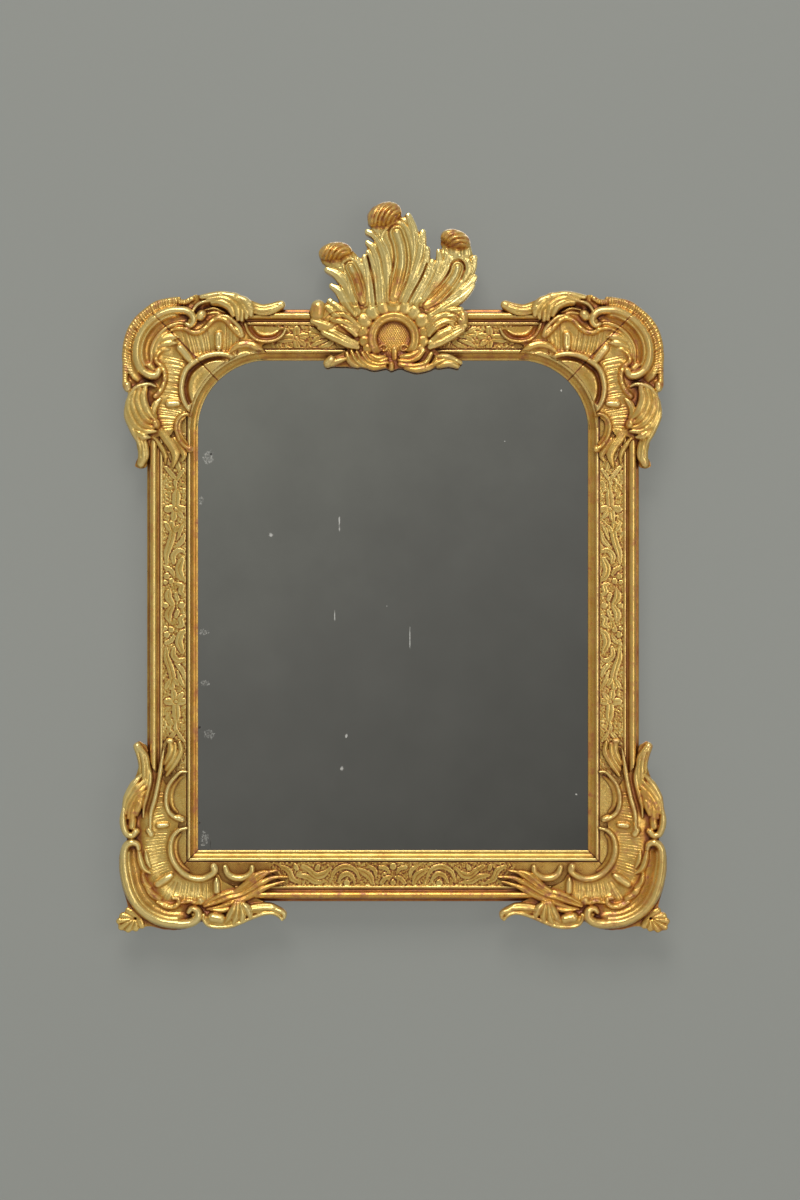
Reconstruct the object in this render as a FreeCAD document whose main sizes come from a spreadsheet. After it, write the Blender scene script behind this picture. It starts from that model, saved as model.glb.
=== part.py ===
"""Carved and gilt rococo wall mirror, as a parametric document.

Millimetres, +Z up, the front faces -Y. The origin is the middle of the hanging ring's hinge axis.
Carvings are drawn in plan: in a corner (out, up) run outward from the sight corner, and on the crest
(across, up) run from the middle of the top rail's upper edge. Heights are measured from the frame's back.
"""
import FreeCAD
import Part

import math
import os

from FreeCAD import Placement, Rotation, Vector

SIZES = {
    # Glass opening and moulding section
    "sight_width": 508,
    "sight_height": 638,
    "moulding_width": 66,
    "rebate_width": 8,
    "rebate_depth": 14,
    "lip_width": 2.5,
    "lip_thickness": 4,
    "cove_width": 7,
    "cove_rise": 7.5,
    "fillet_width": 3.5,
    "fillet_rise": 2,
    "groove_width": 2,
    "groove_drop": 1,
    "bead_width": 8,
    "bead_rise": 8.5,
    "bead_groove_width": 5,
    "edge_width": 4,
    "edge_drop": 4,
    # Mirror plate and boards
    "glass_thickness": 3,
    "silver_thickness": 0.4,
    "glass_clearance": 2,
    "block_length": 24,
    "board_thickness": 6,
    "board_clearance": 1,
    "sprig_radius": 1,
    "sprig_length": 16,
    "sprig_gap": 0.1,
    # Mitre keys
    "key_leg": 40,
    "key_thickness": 4,
    "key_height": 8,
    # Carving
    "seat_drop": 1.5,
    "ground_thickness": 6,
    "arch_radius": 91,
    "arch_clearance": 1,
    "scroll_rise": 12,
    "leaf_rise": 13,
    "sight_scroll_rise": 8,
    "pipe_rise": 4,
    "flute_radius": 2.2,
    "plume_rise": 9,
    "tip_depth": 22,
    "shell_radius": 28.5,
    "shell_rim_width": 7,
    "shell_rim_rise": 9,
    "shell_floor_rise": 5,
    "shell_floor_gap": 0.3,
    "bead_boss_radius": 5.5,
    # Crest braces
    "brace_width": 28,
    "brace_thickness": 11,
    "brace_foot": 42,
    "brace_reach": 66,
    "brace_spacing": 90,
    "screw_radius": 2,
    "screw_length": 20,
    "screw_head_radius": 4,
    "screw_head_thickness": 2,
    # Hanger
    "hinge_above_sight": 46,
    "hinge_stand_off": 5,
    "strap_width": 30,
    "strap_length": 34,
    "strap_thickness": 2,
    "knuckle_length": 23,
    "knuckle_wall": 2,
    "ring_wire_radius": 2,
    "ring_running_gap": 0.05,
    "ring_half_width": 18,
    "ring_corner_radius": 5,
    "ring_leg": 8,
    "hanger_screw_length": 14,
}

doc = FreeCAD.newDocument("rococo_wall_mirror")
sheet = doc.addObject("Spreadsheet::Sheet", "Sizes")
for row, (name, number) in enumerate(SIZES.items(), start=1):
    sheet.set(f"A{row}", name)
    sheet.set(f"B{row}", str(number))
    sheet.setAlias(f"B{row}", name)
doc.recompute()


def size(alias):
    """Read one driving dimension from the sheet."""
    return float(sheet.get(alias))


# Levels and spans that several pieces share
HALF_WIDTH = size("sight_width") / 2
HALF_HEIGHT = size("sight_height") / 2
LIP_FRONT = size("rebate_depth") + size("lip_thickness")
FRIEZE = LIP_FRONT + size("cove_rise")
SEAT = FRIEZE - size("seat_drop")
GROUND = SEAT + size("ground_thickness")
GLASS_BACK = size("rebate_depth") - size("glass_thickness")
SILVER_BACK = GLASS_BACK - size("silver_thickness")
BOARD_BACK = SILVER_BACK - size("board_thickness")
SPRIG_HEIGHT = BOARD_BACK - size("sprig_gap") - size("sprig_radius")
TOP_EDGE = HALF_HEIGHT + size("moulding_width")
HINGE_Z = HALF_HEIGHT + size("hinge_above_sight")
FAR = 4 * (size("sight_width") + size("sight_height"))

# Shares that set where points lie within a size
DIAGONAL = 0.5 ** 0.5
COVE_ACROSS = 0.65
COVE_UP = 0.35
RIM_TURN = 0.72
BOARD_SPRIG_SHARES = (0.25, 0.75)
RAIL_SPRIG_SHARES = (-0.5, 0.5)
STRAP_SCREW_SHARES = (0.3, 0.75)
FRONT = Vector(0, -1, 0)
HINGE_Z_CELLS = "Sizes.sight_height / 2 + Sizes.hinge_above_sight"
CORNERS = {
    "upper_left": (-1, 1),
    "upper_right": (1, 1),
    "lower_left": (-1, -1),
    "lower_right": (1, -1),
}
nodes = []


def keep(label, obj):
    """Name a finished sub-part and move it so that the hinge axis is the origin."""
    obj.Label = label
    obj.setExpression("Placement.Base.y", "-Sizes.hinge_stand_off")
    obj.setExpression("Placement.Base.z", f"-({HINGE_Z_CELLS})")
    nodes.append(obj)
    return obj


def feature(name, shape):
    """A document object whose shape is worked out in code."""
    obj = doc.addObject("Part::Feature", name)
    obj.Shape = shape
    return obj


def keep_shape(label, shape):
    return keep(label, feature(label, shape))


class Plan:
    """Places plan coordinates and a height from the back in the model."""

    def __init__(self, origin_x, origin_z, x_sign=1, z_sign=1):
        self.origin = (origin_x, origin_z)
        self.sign = (x_sign, z_sign)

    def at(self, point, height):
        x = self.origin[0] + self.sign[0] * point[0]
        z = self.origin[1] + self.sign[1] * point[1]
        return Vector(x, -height, z)


def spline(points):
    curve = Part.BSplineCurve()
    curve.interpolate(points)
    return curve


def prism(plan, runs, low, high):
    """A flat piece between two heights; each run is a smooth stretch of its closed outline."""
    edges = []
    first = runs[0][0]
    for index, run in enumerate(runs):
        end = runs[index + 1][0] if index + 1 < len(runs) else first
        stretch = run if run[-1] == end else run + [end]
        points = [plan.at(point, low) for point in stretch]
        if len(points) == 2:
            edges.append(Part.LineSegment(points[0], points[1]).toShape())
        else:
            edges.append(spline(points).toShape())
    return Part.Face(Part.Wire(edges)).extrude(FRONT * (high - low))


def polygon_prism(plan, points, low, high):
    wire = Part.makePolygon([plan.at(point, low) for point in points + points[:1]])
    return Part.Face(wire).extrude(FRONT * (high - low))


def swell(widths, share):
    """Half-width along a stroke that runs from its start through its belly to its end."""
    start, belly, end = widths
    belly_share = 0.45
    if share < belly_share:
        ease = share / belly_share
        return start + (belly - start) * ease * (2 - ease)
    ease = (share - belly_share) / (1 - belly_share)
    return belly + (end - belly) * ease * ease


def round_section(sides=6):
    """A half-round top as (share of the half-width, share of the rise), from edge to edge."""
    turns = [math.pi * step / sides for step in range(sides + 1)]
    return [(-math.cos(turn), math.sin(turn)) for turn in turns]


ROUND = round_section()
PIPED = [(-1, 0), (-0.7, 0.7), (-0.24, 1), (-0.14, 1.5), (0.14, 1.5), (0.24, 1), (0.7, 0.7), (1, 0)]


def stroke(plan, path, widths, rise, stations=19, section=ROUND):
    """A carved stroke: flat-backed sections lofted along a path drawn in plan."""
    curve = spline([plan.at(point, GROUND) for point in path])
    first, last = curve.FirstParameter, curve.LastParameter
    wires = []
    for station in range(stations):
        share = station / (stations - 1)
        parameter = first + (last - first) * share
        middle = curve.value(parameter)
        across = curve.tangent(parameter)[0].cross(FRONT).normalize()
        half = swell(widths, share)
        top = rise * (half / max(widths)) ** 0.5
        points = [middle + across * (half * out) + FRONT * (top * up) for out, up in section]
        wires.append(Part.makePolygon(points + points[:1]))
    return Part.makeLoft(wires, True, True)


def dome(plan, centre, radius, rise):
    """A round boss: the cap of a ball, with a flat back."""
    ball_radius = (radius * radius + rise * rise) / (2 * rise)
    ball = Part.makeSphere(ball_radius, plan.at(centre, GROUND + rise - ball_radius))
    slab = polygon_prism(plan, square_round(centre, 2 * radius), GROUND, GROUND + 2 * rise)
    return ball.common(slab)


def square_round(centre, radius):
    across, up = centre
    signs = ((-1, -1), (1, -1), (1, 1), (-1, 1))
    return [(across + sx * radius, up + sz * radius) for sx, sz in signs]


def rolled_tip(plan, centre, half_across, half_up):
    """The rolled-over end of a plume: an egg that stands on the crest board."""
    egg = Part.makeSphere(1)
    stretch = FreeCAD.Matrix()
    stretch.scale(Vector(half_across, size("tip_depth"), half_up))
    stretch.move(plan.at(centre, GROUND + size("tip_depth") / 3))
    egg = egg.transformGeometry(stretch)
    reach = max(half_across, half_up)
    slab = polygon_prism(plan, square_round(centre, 2 * reach), GROUND, GROUND + 2 * size("tip_depth"))
    return egg.common(slab)


def fuse(shapes):
    return shapes[0].multiFuse(shapes[1:]).removeSplitter()


# Frame members

def section_outline():
    """The moulding's section as (distance from the sight edge, height); the bead is one arc."""
    width = size("moulding_width")
    lip = size("lip_width")
    cove = lip + size("cove_width")
    inner = cove + size("fillet_width")
    frieze_in = inner + size("groove_width")
    edge = width - size("edge_width")
    bead = edge - size("bead_width")
    groove = bead - size("bead_groove_width")
    frieze_out = groove - size("fillet_width")
    fillet = FRIEZE + size("fillet_rise")
    bead_foot = FRIEZE + size("bead_rise") - size("bead_width") / 2
    sunk = FRIEZE - size("groove_drop")
    edge_front = FRIEZE - size("edge_drop")
    start = [(edge, bead_foot), (edge, edge_front), (width, edge_front), (width, 0), (size("rebate_width"), 0),
             (size("rebate_width"), size("rebate_depth")), (0, size("rebate_depth")), (0, LIP_FRONT),
             (lip, LIP_FRONT)]
    cove_middle = (lip + COVE_ACROSS * size("cove_width"), LIP_FRONT + COVE_UP * size("cove_rise"))
    finish = [(cove, FRIEZE), (cove, fillet), (inner, fillet), (inner, sunk), (frieze_in, sunk),
              (frieze_in, FRIEZE), (frieze_out, FRIEZE), (frieze_out, fillet), (groove, fillet),
              (groove, sunk), (bead, sunk), (bead, bead_foot)]
    bead_middle = (edge - size("bead_width") / 2, FRIEZE + size("bead_rise"))
    return start, cove_middle, finish, bead_middle


def moulding(name, sight_cell, turn, offset_cell):
    """One mitred member, drawn as a top rail and turned to its place round the opening."""
    body = doc.addObject("PartDesign::Body", name)
    planes = {plane.Role: plane for plane in body.Origin.OriginFeatures}
    profile = body.newObject("Sketcher::SketchObject", name + "_section")
    profile.AttachmentSupport = [(planes["YZ_Plane"], "")]
    profile.MapMode = "FlatFace"
    start, cove_middle, finish, bead_middle = section_outline()

    def on_sketch(point):
        return Vector(-point[1], point[0], 0)

    for run in (start, finish):
        for p, q in zip(run, run[1:]):
            profile.addGeometry(Part.LineSegment(on_sketch(p), on_sketch(q)))
    arcs = ((start[-1], cove_middle, finish[0]), (finish[-1], bead_middle, start[0]))
    for ends in arcs:
        profile.addGeometry(Part.Arc(*[on_sketch(point) for point in ends]))
    pad = body.newObject("PartDesign::Pad", name + "_length")
    pad.Profile = profile
    pad.SideType = "Symmetric"
    pad.setExpression("Length", f"{sight_cell} + 2 * Sizes.moulding_width")
    doc.recompute()

    half = size(sight_cell.split(".")[1]) / 2
    width = size("moulding_width")
    mitres = body.newObject("Sketcher::SketchObject", name + "_mitres")
    mitres.AttachmentSupport = [(planes["XZ_Plane"], "")]
    mitres.MapMode = "FlatFace"
    for sign in (-1, 1):
        waste = [Vector(sign * half, 0, 0), Vector(sign * (half + width), width, 0),
                 Vector(sign * (half + width), 0, 0)]
        for p, q in zip(waste, waste[1:] + waste[:1]):
            mitres.addGeometry(Part.LineSegment(p, q))
    pocket = body.newObject("PartDesign::Pocket", name + "_mitre_cut")
    pocket.Profile = mitres
    pocket.SideType = "Symmetric"
    pocket.setExpression("Length", "4 * (Sizes.rebate_depth + Sizes.bead_rise + Sizes.cove_rise)")
    body.Placement = Placement(Vector(), Rotation(Vector(0, 1, 0), turn))
    axis, sign, cell = offset_cell
    body.setExpression(f"Placement.Base.{axis}", f"{sign}{cell} / 2")
    doc.recompute()
    return body


FRAME = {
    "top_rail": moulding("top_moulding", "Sizes.sight_width", 0, ("z", "", "Sizes.sight_height")),
    "right_stile": moulding("right_moulding", "Sizes.sight_height", 90, ("x", "", "Sizes.sight_width")),
    "bottom_rail": moulding("bottom_moulding", "Sizes.sight_width", 180, ("z", "-", "Sizes.sight_height")),
    "left_stile": moulding("left_moulding", "Sizes.sight_height", 270, ("x", "-", "Sizes.sight_width")),
}


# Carved corners, drawn outward from the sight corner

UPPER = {
    "ground": [
        [(0, -91), (3, -108), (14, -122), (24, -134), (35, -142), (44, -128), (52, -112)],
        [(60, -112), (63, -128), (68, -141), (80, -139), (76, -118), (79, -100), (88, -75), (91, -60), (87, -42)],
        [(95, -35), (93, -20), (93, 15), (90, 33), (84, 47), (75, 58), (61, 69)],
        [(50, 75), (30, 77), (18, 75.5), (8, 80), (0, 85.5), (-8, 83)],
        [(-25, 86.5), (-45, 85), (-60, 80), (-75, 73.5), (-88, 72.5), (-108, 77), (-115, 70)],
        [(-104, 61), (-92, 56), (-80, 54), (-68, 50)],
        [(-112, 44), (-108, 30), (-94, 22)],
        [(-88, 14), (-91, 0)],
    ],
    "corner_scroll": [(53, -11), (61, -18), (70, -12), (75, 1), (76, 16), (73, 31), (67, 43), (57, 54),
                      (44, 61), (30, 64), (17, 62), (9, 55), (11, 47)],
    "corner_scroll_widths": (3.5, 6, 3.5),
    "rail_leaf": [(-8, 56), (0, 60), (0, 69), (-9, 76), (-26, 79), (-46, 76), (-62, 70), (-78, 66), (-92, 65),
                  (-104, 68), (-111, 71)],
    "stile_leaf": [(60, -40), (70, -38), (79, -44), (83, -57), (81, -73), (75, -90), (70, -106), (68, -120),
                   (71, -131), (77, -137)],
    "leaf_widths": (4, 7, 3),
    "sight_scroll": [(4, -62), (11, -64), (17, -54), (19, -38), (16, -20), (7, -5), (-6, 4), (-22, 7), (-36, 6.5),
                     (-45, 1), (-47, -5)],
    "sight_scroll_widths": (2.5, 3.2, 2.5),
    "stile_scroll": [(9, -73), (18, -72), (25, -79), (27, -89), (24, -100), (18, -110), (12, -115)],
    "rail_scroll": [(-64, 42), (-69, 33), (-79, 26), (-92, 24.5), (-104, 29), (-110, 37)],
    "small_scroll_widths": (2.2, 3, 2.2),
    "stile_pipe": [(39, -57), (24, -58)],
    "rail_pipe": [(-27, 33), (-28, 13)],
    "flutes_inner": [(22, -48), (24, -30), (20, -14), (10, 1), (-6, 10), (-20, 14)],
    "flutes_outer": [(42, -48), (43, -25), (40, -2), (22, 30), (0, 33), (-15, 36)],
}
LOWER = {
    "ground": [
        [(15, -106), (15, 15)],
        [(15, 15), (-78, 15)],
        [(-78, 15), (-112, 26), (-117, 39), (-92, 53)],
        [(-72, 64), (-90, 67), (-104, 70), (-114, 77), (-115, 86), (-108, 89), (-97, 84), (-84, 84), (-70, 89),
         (-55, 96), (-40, 101), (-24, 101), (-12, 97)],
        [(-4, 90), (6, 97), (22, 102), (40, 102), (60, 99)],
        [(71, 97), (84, 102), (97, 103), (103, 94), (91, 77)],
        [(91, 75), (96, 60), (99, 42), (100, 20), (98, -1), (91, -13)],
        [(89, -17), (96, -26), (98.5, -42), (96, -60), (91, -78), (84, -92), (78, -106), (76, -120), (80, -132),
         (82, -140)],
        [(74, -144), (66, -137), (63, -118), (56, -102)],
        [(46, -110), (40, -126), (35, -146), (22, -132), (19, -116)],
    ],
    "corner_scroll": [(78, -4), (86, -8), (92, -2), (94, 10), (93.5, 26), (90, 44), (83, 61), (72, 76), (58, 87),
                      (42, 93.5), (24, 95), (10, 90), (4, 82)],
    "corner_scroll_widths": (3.5, 6, 3.5),
    "rail_leaf": [(-14, 80), (-13, 89), (-22, 94), (-36, 93), (-50, 88), (-65, 82), (-80, 77), (-95, 75),
                  (-106, 79), (-110, 84)],
    "stile_leaf": [(79, -21), (88, -20), (92, -30), (91, -46), (88, -62), (83, -78), (77, -92), (71, -107),
                   (69, -120), (73, -132), (78, -138)],
    "leaf_widths": (4, 6.5, 3),
    "sight_scroll": [(17, -29), (27, -26), (34, -15), (36, 0), (32, 14), (22, 27), (8, 36), (-8, 37), (-19, 32),
                     (-24, 24)],
    "sight_scroll_widths": (2.8, 3.6, 3),
    "stile_scroll": [(18, -101), (27, -98), (36, -87), (41, -72), (40, -58), (33, -46), (22, -41)],
    "rail_scroll": [(-34, 24), (-37, 31), (-48, 37), (-60, 37), (-70, 31), (-73, 24)],
    "small_scroll_widths": (3, 3.8, 3.5),
    "stile_pipe": [(51, -33), (38, -34)],
    "rail_pipe": [(-25, 52), (-24.5, 42)],
    "flutes_inner": [(42, -20), (43, -4), (41, 12), (10, 42), (-3, 43), (-14, 42)],
    "flutes_outer": [(60, -20), (60, -4), (57, 12), (14, 57), (0, 58), (-16, 57)],
}
PIPE_WIDTHS = (3.5, 4.5, 4)


def mitre_side(plan, on_stile):
    """Everything on one side of the corner's mitre."""
    third = (FAR, -FAR) if on_stile else (-FAR, FAR)
    return polygon_prism(plan, [(-FAR, -FAR), (FAR, FAR), third], -FAR, FAR)


def arch_slab(plan):
    """Fills the square sight corner down to the glass."""
    radius = size("arch_radius")
    low = size("rebate_depth") + size("arch_clearance")
    return polygon_prism(plan, [(0, 0), (-radius, 0), (-radius, -radius), (0, -radius)], low, GROUND)


def arch_bore(plan):
    """The round of the arched sight line, to be cut through the corner."""
    radius = size("arch_radius")
    return Part.makeCylinder(radius, 2 * GROUND, plan.at((-radius, -radius), -GROUND / 2), FRONT)


def flutes(plan, inner, outer):
    """Round-bottomed flutes that fan out over the shell, each from an inner to an outer point."""
    tools = []
    for start, end in zip(inner, outer):
        foot = plan.at(start, GROUND + size("flute_radius") / 3)
        reach = plan.at(end, GROUND + size("flute_radius") / 3) - foot
        tools.append(Part.makeCylinder(size("flute_radius"), reach.Length, foot, reach))
    return tools


seats = {label: [] for label in FRAME}


def carve_corner(corner, side, end):
    """The six carved pieces of one corner."""
    plan = Plan(side * HALF_WIDTH, end * HALF_HEIGHT, side, end)
    drawing = UPPER if end > 0 else LOWER
    ground_runs = [list(run) for run in drawing["ground"]]
    ground = prism(plan, ground_runs, SEAT, GROUND)
    seat = prism(plan, ground_runs, SEAT, GROUND + size("bead_rise") + size("bead_width"))
    seats["top_rail" if end > 0 else "bottom_rail"].append(seat)
    seats["left_stile" if side < 0 else "right_stile"].append(seat)
    if end > 0:
        ground = ground.fuse(arch_slab(plan)).removeSplitter().cut(arch_bore(plan))
    ground = ground.cut(flutes(plan, drawing["flutes_inner"], drawing["flutes_outer"]))

    halves = (("shell_stile", True, "stile_scroll", "stile_pipe"), ("shell_rail", False, "rail_scroll", "rail_pipe"))
    for part, on_stile, scroll, pipe in halves:
        half = ground.common(mitre_side(plan, on_stile))
        small = stroke(plan, drawing[scroll], drawing["small_scroll_widths"], size("sight_scroll_rise"))
        bar = stroke(plan, drawing[pipe], PIPE_WIDTHS, size("pipe_rise"), stations=4)
        keep_shape(f"{corner}_{part}", fuse([half, small, bar]))
    strokes = (("corner_scroll", drawing["corner_scroll_widths"], "scroll_rise"),
               ("rail_leaf", drawing["leaf_widths"], "leaf_rise"),
               ("stile_leaf", drawing["leaf_widths"], "leaf_rise"),
               ("sight_scroll", drawing["sight_scroll_widths"], "sight_scroll_rise"))
    for part, widths, rise in strokes:
        keep_shape(f"{corner}_{part}", stroke(plan, drawing[part], widths, size(rise)))


for corner, (side, end) in CORNERS.items():
    carve_corner(corner, side, end)


# Crest, drawn from the middle of the top rail's upper edge

CREST = Plan(0, TOP_EDGE)
CREST_OUTLINE = [
    (-91, -70), (-86, -63), (-72, -60), (-58, -52),
    (-50, -42), (-66, -34), (-88, -26), (-106, -18), (-110, -5), (-104, 9), (-95, 12), (-88, 6),
    (-85, 12), (-80, 13), (-74, 8),
    (-70, 6), (-74, 22), (-81, 29), (-77, 33), (-70, 30),
    (-64, 33), (-74, 42), (-88, 50), (-85, 54),
    (-93, 60), (-96, 68), (-90, 80), (-74, 86), (-60, 83), (-51, 75), (-43, 66),
    (-37, 69), (-33, 68),
    (-30, 62), (-34, 74), (-34, 84), (-30, 86), (-21, 79),
    (-26, 92), (-34, 99), (-30, 102),
    (-26, 102), (-33, 110), (-34, 122), (-27, 132), (-14, 138), (0, 134), (11, 121),
    (12, 118), (17, 123), (21, 120), (27, 108), (30, 97),
    (36, 102), (40, 99), (42, 90), (41, 81),
    (45, 78), (45, 65),
    (42, 51), (45.5, 60), (49, 63), (53, 59),
    (55, 50), (58, 70), (60, 76),
    (64, 78), (61, 86), (66, 96), (78, 102), (91, 99), (100, 88), (103, 72),
    (107, 66), (106, 54),
    (101, 44), (107, 40), (106, 29), (98, 16),
    (84, 5), (92, -3), (98, -12), (98, -22), (84, -28), (66, -37), (54, -42),
    (52, -50), (62, -59), (80, -63), (91, -69),
    (84, -77), (66, -75), (50, -77), (28, -80), (8, -77), (-2, -81), (-10, -77), (-40, -76), (-76, -75),
]
PLUMES = {
    "left": [(-36, 4), (-41, 20), (-46, 36), (-53, 52), (-59, 58)],
    "centre": [(-1, 10), (3, 32), (9, 58), (10, 80), (4, 99)],
    "right": [(42, 3), (56, 18), (71, 36), (80, 54), (81, 70)],
}
PLUME_WIDTHS = {"left": (9, 15, 11), "centre": (9, 25, 15), "right": (9, 19, 15)}
TIPS = {"left": (-75, 73), "centre": (-11, 120), "right": (81, 88.5)}
TIP_HALVES = {"left": (21, 13.5), "centre": (22, 16.5), "right": (19, 13.5)}
SHELL_CENTRE = (1, -38)
BEADS = [(-37, -14), (-24, -4), (1, 1), (25, -3), (37, -13)]
SIDE_LEAVES = {
    "crest_side_leaf_left": [(-50, -30), (-62, -23), (-77, -17), (-90, -9), (-97, 2)],
    "crest_side_leaf_right": [(50, -29), (61, -24), (73, -18), (83, -13), (90, -14)],
}
SIDE_LEAF_WIDTHS = (5, 9, 7)
LOWER_LEAVES = {
    "crest_lower_leaf_left": [(-9, -71), (-25, -69), (-42, -66), (-58, -65), (-72, -67), (-85, -69)],
    "crest_lower_leaf_right": [(9, -71), (23, -72), (38, -70), (53, -67), (68, -68), (85, -71)],
}
LOWER_LEAF_WIDTHS = (4, 6, 4)


def crest_board():
    """The lobed plank: thin where it laps over the rail, full depth where it stands above it."""
    lap = polygon_prism(CREST, CREST_OUTLINE, SEAT, GROUND)
    plank = polygon_prism(CREST, CREST_OUTLINE, size("brace_thickness"), SEAT)
    above = polygon_prism(CREST, [(-FAR, 0), (FAR, 0), (FAR, FAR), (-FAR, FAR)], 0, GROUND)
    return lap.fuse(plank.common(above)).removeSplitter()


def shell_rim():
    """The cabochon's rim: an open ring whose two ends turn out at the bottom."""
    across, up = SHELL_CENTRE
    radius = size("shell_radius")
    half = size("shell_rim_width") / 2
    opening = RIM_TURN * radius
    slant = DIAGONAL * radius
    path = [(across - opening, up - opening), (across - radius, up), (across - slant, up + slant),
            (across, up + radius), (across + slant, up + slant), (across + radius, up),
            (across + opening, up - opening)]
    return stroke(CREST, path, (half, half, half), size("shell_rim_rise"), stations=17)


crest_seat = polygon_prism(CREST, CREST_OUTLINE, SEAT, GROUND + size("bead_rise"))
seats["top_rail"].append(crest_seat)
floor_radius = size("shell_radius") - size("shell_rim_width") / 2 - size("shell_floor_gap")

brace_screws = []
brace_boxes = {}
board_shape = crest_board()


def wood_screw(x, y, z, length, head_radius, head_thickness):
    """A screw driven forward from the back, with its head let in flush."""
    start = Vector(x, y, z)
    head = Part.makeCylinder(head_radius, head_thickness, start, FRONT)
    return head.fuse(Part.makeCylinder(size("screw_radius"), length, start, FRONT)).removeSplitter()


for name, side in (("crest_brace_left", -1), ("crest_brace_right", 1)):
    x = side * size("brace_spacing") / 2
    brace = doc.addObject("Part::Box", name + "_batten")
    brace.setExpression("Length", "Sizes.brace_width")
    brace.setExpression("Width", "Sizes.brace_thickness")
    brace.setExpression("Height", "Sizes.brace_foot + Sizes.brace_reach")
    brace.setExpression("Placement.Base.x", f"{side} * Sizes.brace_spacing / 2 - Sizes.brace_width / 2")
    brace.setExpression("Placement.Base.y", "-Sizes.brace_thickness")
    brace.setExpression("Placement.Base.z", "Sizes.sight_height / 2 + Sizes.moulding_width - Sizes.brace_foot")
    brace_boxes[name] = brace
    for up in (-size("brace_foot") / 2, size("brace_reach") / 2):
        brace_screws.append(wood_screw(x, 0, TOP_EDGE + up, size("screw_length"), size("screw_head_radius"),
                                       size("screw_head_thickness")))
doc.recompute()
brace_screw_group = Part.makeCompound(brace_screws)
for name, brace in brace_boxes.items():
    holes = feature(name + "_holes", brace_screw_group)
    drilled = doc.addObject("Part::Cut", name)
    drilled.Base = brace
    drilled.Tool = holes
    keep(name, drilled)
keep_shape("crest_brace_screws", brace_screw_group)
keep_shape("crest_board", board_shape.cut(brace_screws))
for place, path in PLUMES.items():
    plume = stroke(CREST, path, PLUME_WIDTHS[place], size("plume_rise"), section=PIPED)
    keep_shape("crest_plume_" + place, plume)
    keep_shape("crest_tip_" + place, rolled_tip(CREST, TIPS[place], *TIP_HALVES[place]))
keep_shape("crest_shell_rim", shell_rim())
keep_shape("crest_shell_floor", dome(CREST, SHELL_CENTRE, floor_radius, size("shell_floor_rise")))
boss = size("bead_boss_radius")
keep_shape("crest_beads", Part.makeCompound([dome(CREST, centre, boss, boss) for centre in BEADS]))
for name, path in SIDE_LEAVES.items():
    keep_shape(name, stroke(CREST, path, SIDE_LEAF_WIDTHS, size("leaf_rise")))
for name, path in LOWER_LEAVES.items():
    keep_shape(name, stroke(CREST, path, LOWER_LEAF_WIDTHS, size("leaf_rise")))


# Mitre keys

key_shapes = {}
for corner, (side, end) in CORNERS.items():
    plan = Plan(side * HALF_WIDTH, end * HALF_HEIGHT, side, end)
    edge = size("moulding_width")
    leg = edge - size("key_leg")
    low = size("key_height")
    key_shapes[corner] = polygon_prism(plan, [(edge, edge), (leg, edge), (edge, leg)], low,
                                       low + size("key_thickness"))
    keep_shape("key_" + corner, key_shapes[corner])


# Mirror plate, silvering, blocks and boards

def plate(name, low, thickness_cell, margin_cell):
    """A rectangular sheet that fills the rebate less a margin all round."""
    sheet_box = doc.addObject("Part::Box", name + "_sheet")
    spread = f"2 * (Sizes.rebate_width - {margin_cell})"
    sheet_box.setExpression("Length", f"Sizes.sight_width + {spread}")
    sheet_box.setExpression("Height", f"Sizes.sight_height + {spread}")
    sheet_box.setExpression("Width", thickness_cell)
    sheet_box.setExpression("Placement.Base.x", f"-(Sizes.sight_width + {spread}) / 2")
    sheet_box.setExpression("Placement.Base.y", f"-({low}) - {thickness_cell}")
    sheet_box.setExpression("Placement.Base.z", f"-(Sizes.sight_height + {spread}) / 2 - ({HINGE_Z_CELLS})")
    return sheet_box


def keep_box(label, box):
    """A box is placed by its own cells, so only the hinge's stand-off is added."""
    box.Label = label
    placed = dict(box.ExpressionEngine)
    box.setExpression("Placement.Base.y", f"{placed['.Placement.Base.y']} - Sizes.hinge_stand_off")
    nodes.append(box)


GLASS_BACK_CELLS = "Sizes.rebate_depth - Sizes.glass_thickness"
SILVER_BACK_CELLS = f"{GLASS_BACK_CELLS} - Sizes.silver_thickness"
keep_box("mirror_glass", plate("glass", GLASS_BACK_CELLS, "Sizes.glass_thickness", "Sizes.glass_clearance"))
keep_box("silvering", plate("silver", SILVER_BACK_CELLS, "Sizes.silver_thickness", "Sizes.glass_clearance"))

rebate_half_width = HALF_WIDTH + size("rebate_width")
rebate_half_height = HALF_HEIGHT + size("rebate_width")


def glazing_blocks():
    """Small blocks wedged between the plate's edges and the rebate, two to a side."""
    gap = size("glass_clearance")
    length = size("block_length")
    depth = size("rebate_depth") - SILVER_BACK
    blocks = []
    for share in (-0.5, 0.5):
        for sign in (-1, 1):
            x = share * rebate_half_width - length / 2
            z = rebate_half_height - gap if sign > 0 else -rebate_half_height
            blocks.append(Part.makeBox(length, depth, gap, Vector(x, -size("rebate_depth"), z)))
            z = share * rebate_half_height - length / 2
            x = rebate_half_width - gap if sign > 0 else -rebate_half_width
            blocks.append(Part.makeBox(gap, depth, length, Vector(x, -size("rebate_depth"), z)))
    return Part.makeCompound(blocks)


keep_shape("glazing_blocks", glazing_blocks())

board_height = 2 * (rebate_half_height - size("board_clearance")) / 3
board_width = 2 * (rebate_half_width - size("board_clearance"))
sprigs = {label: [] for label in FRAME}


def sprig(x, z, direction):
    """A headless nail, half in the rail and half over the board's back."""
    start = Vector(x, -SPRIG_HEIGHT, z) - direction * size("sprig_length") / 2
    return Part.makeCylinder(size("sprig_radius"), size("sprig_length"), start, direction)


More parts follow.
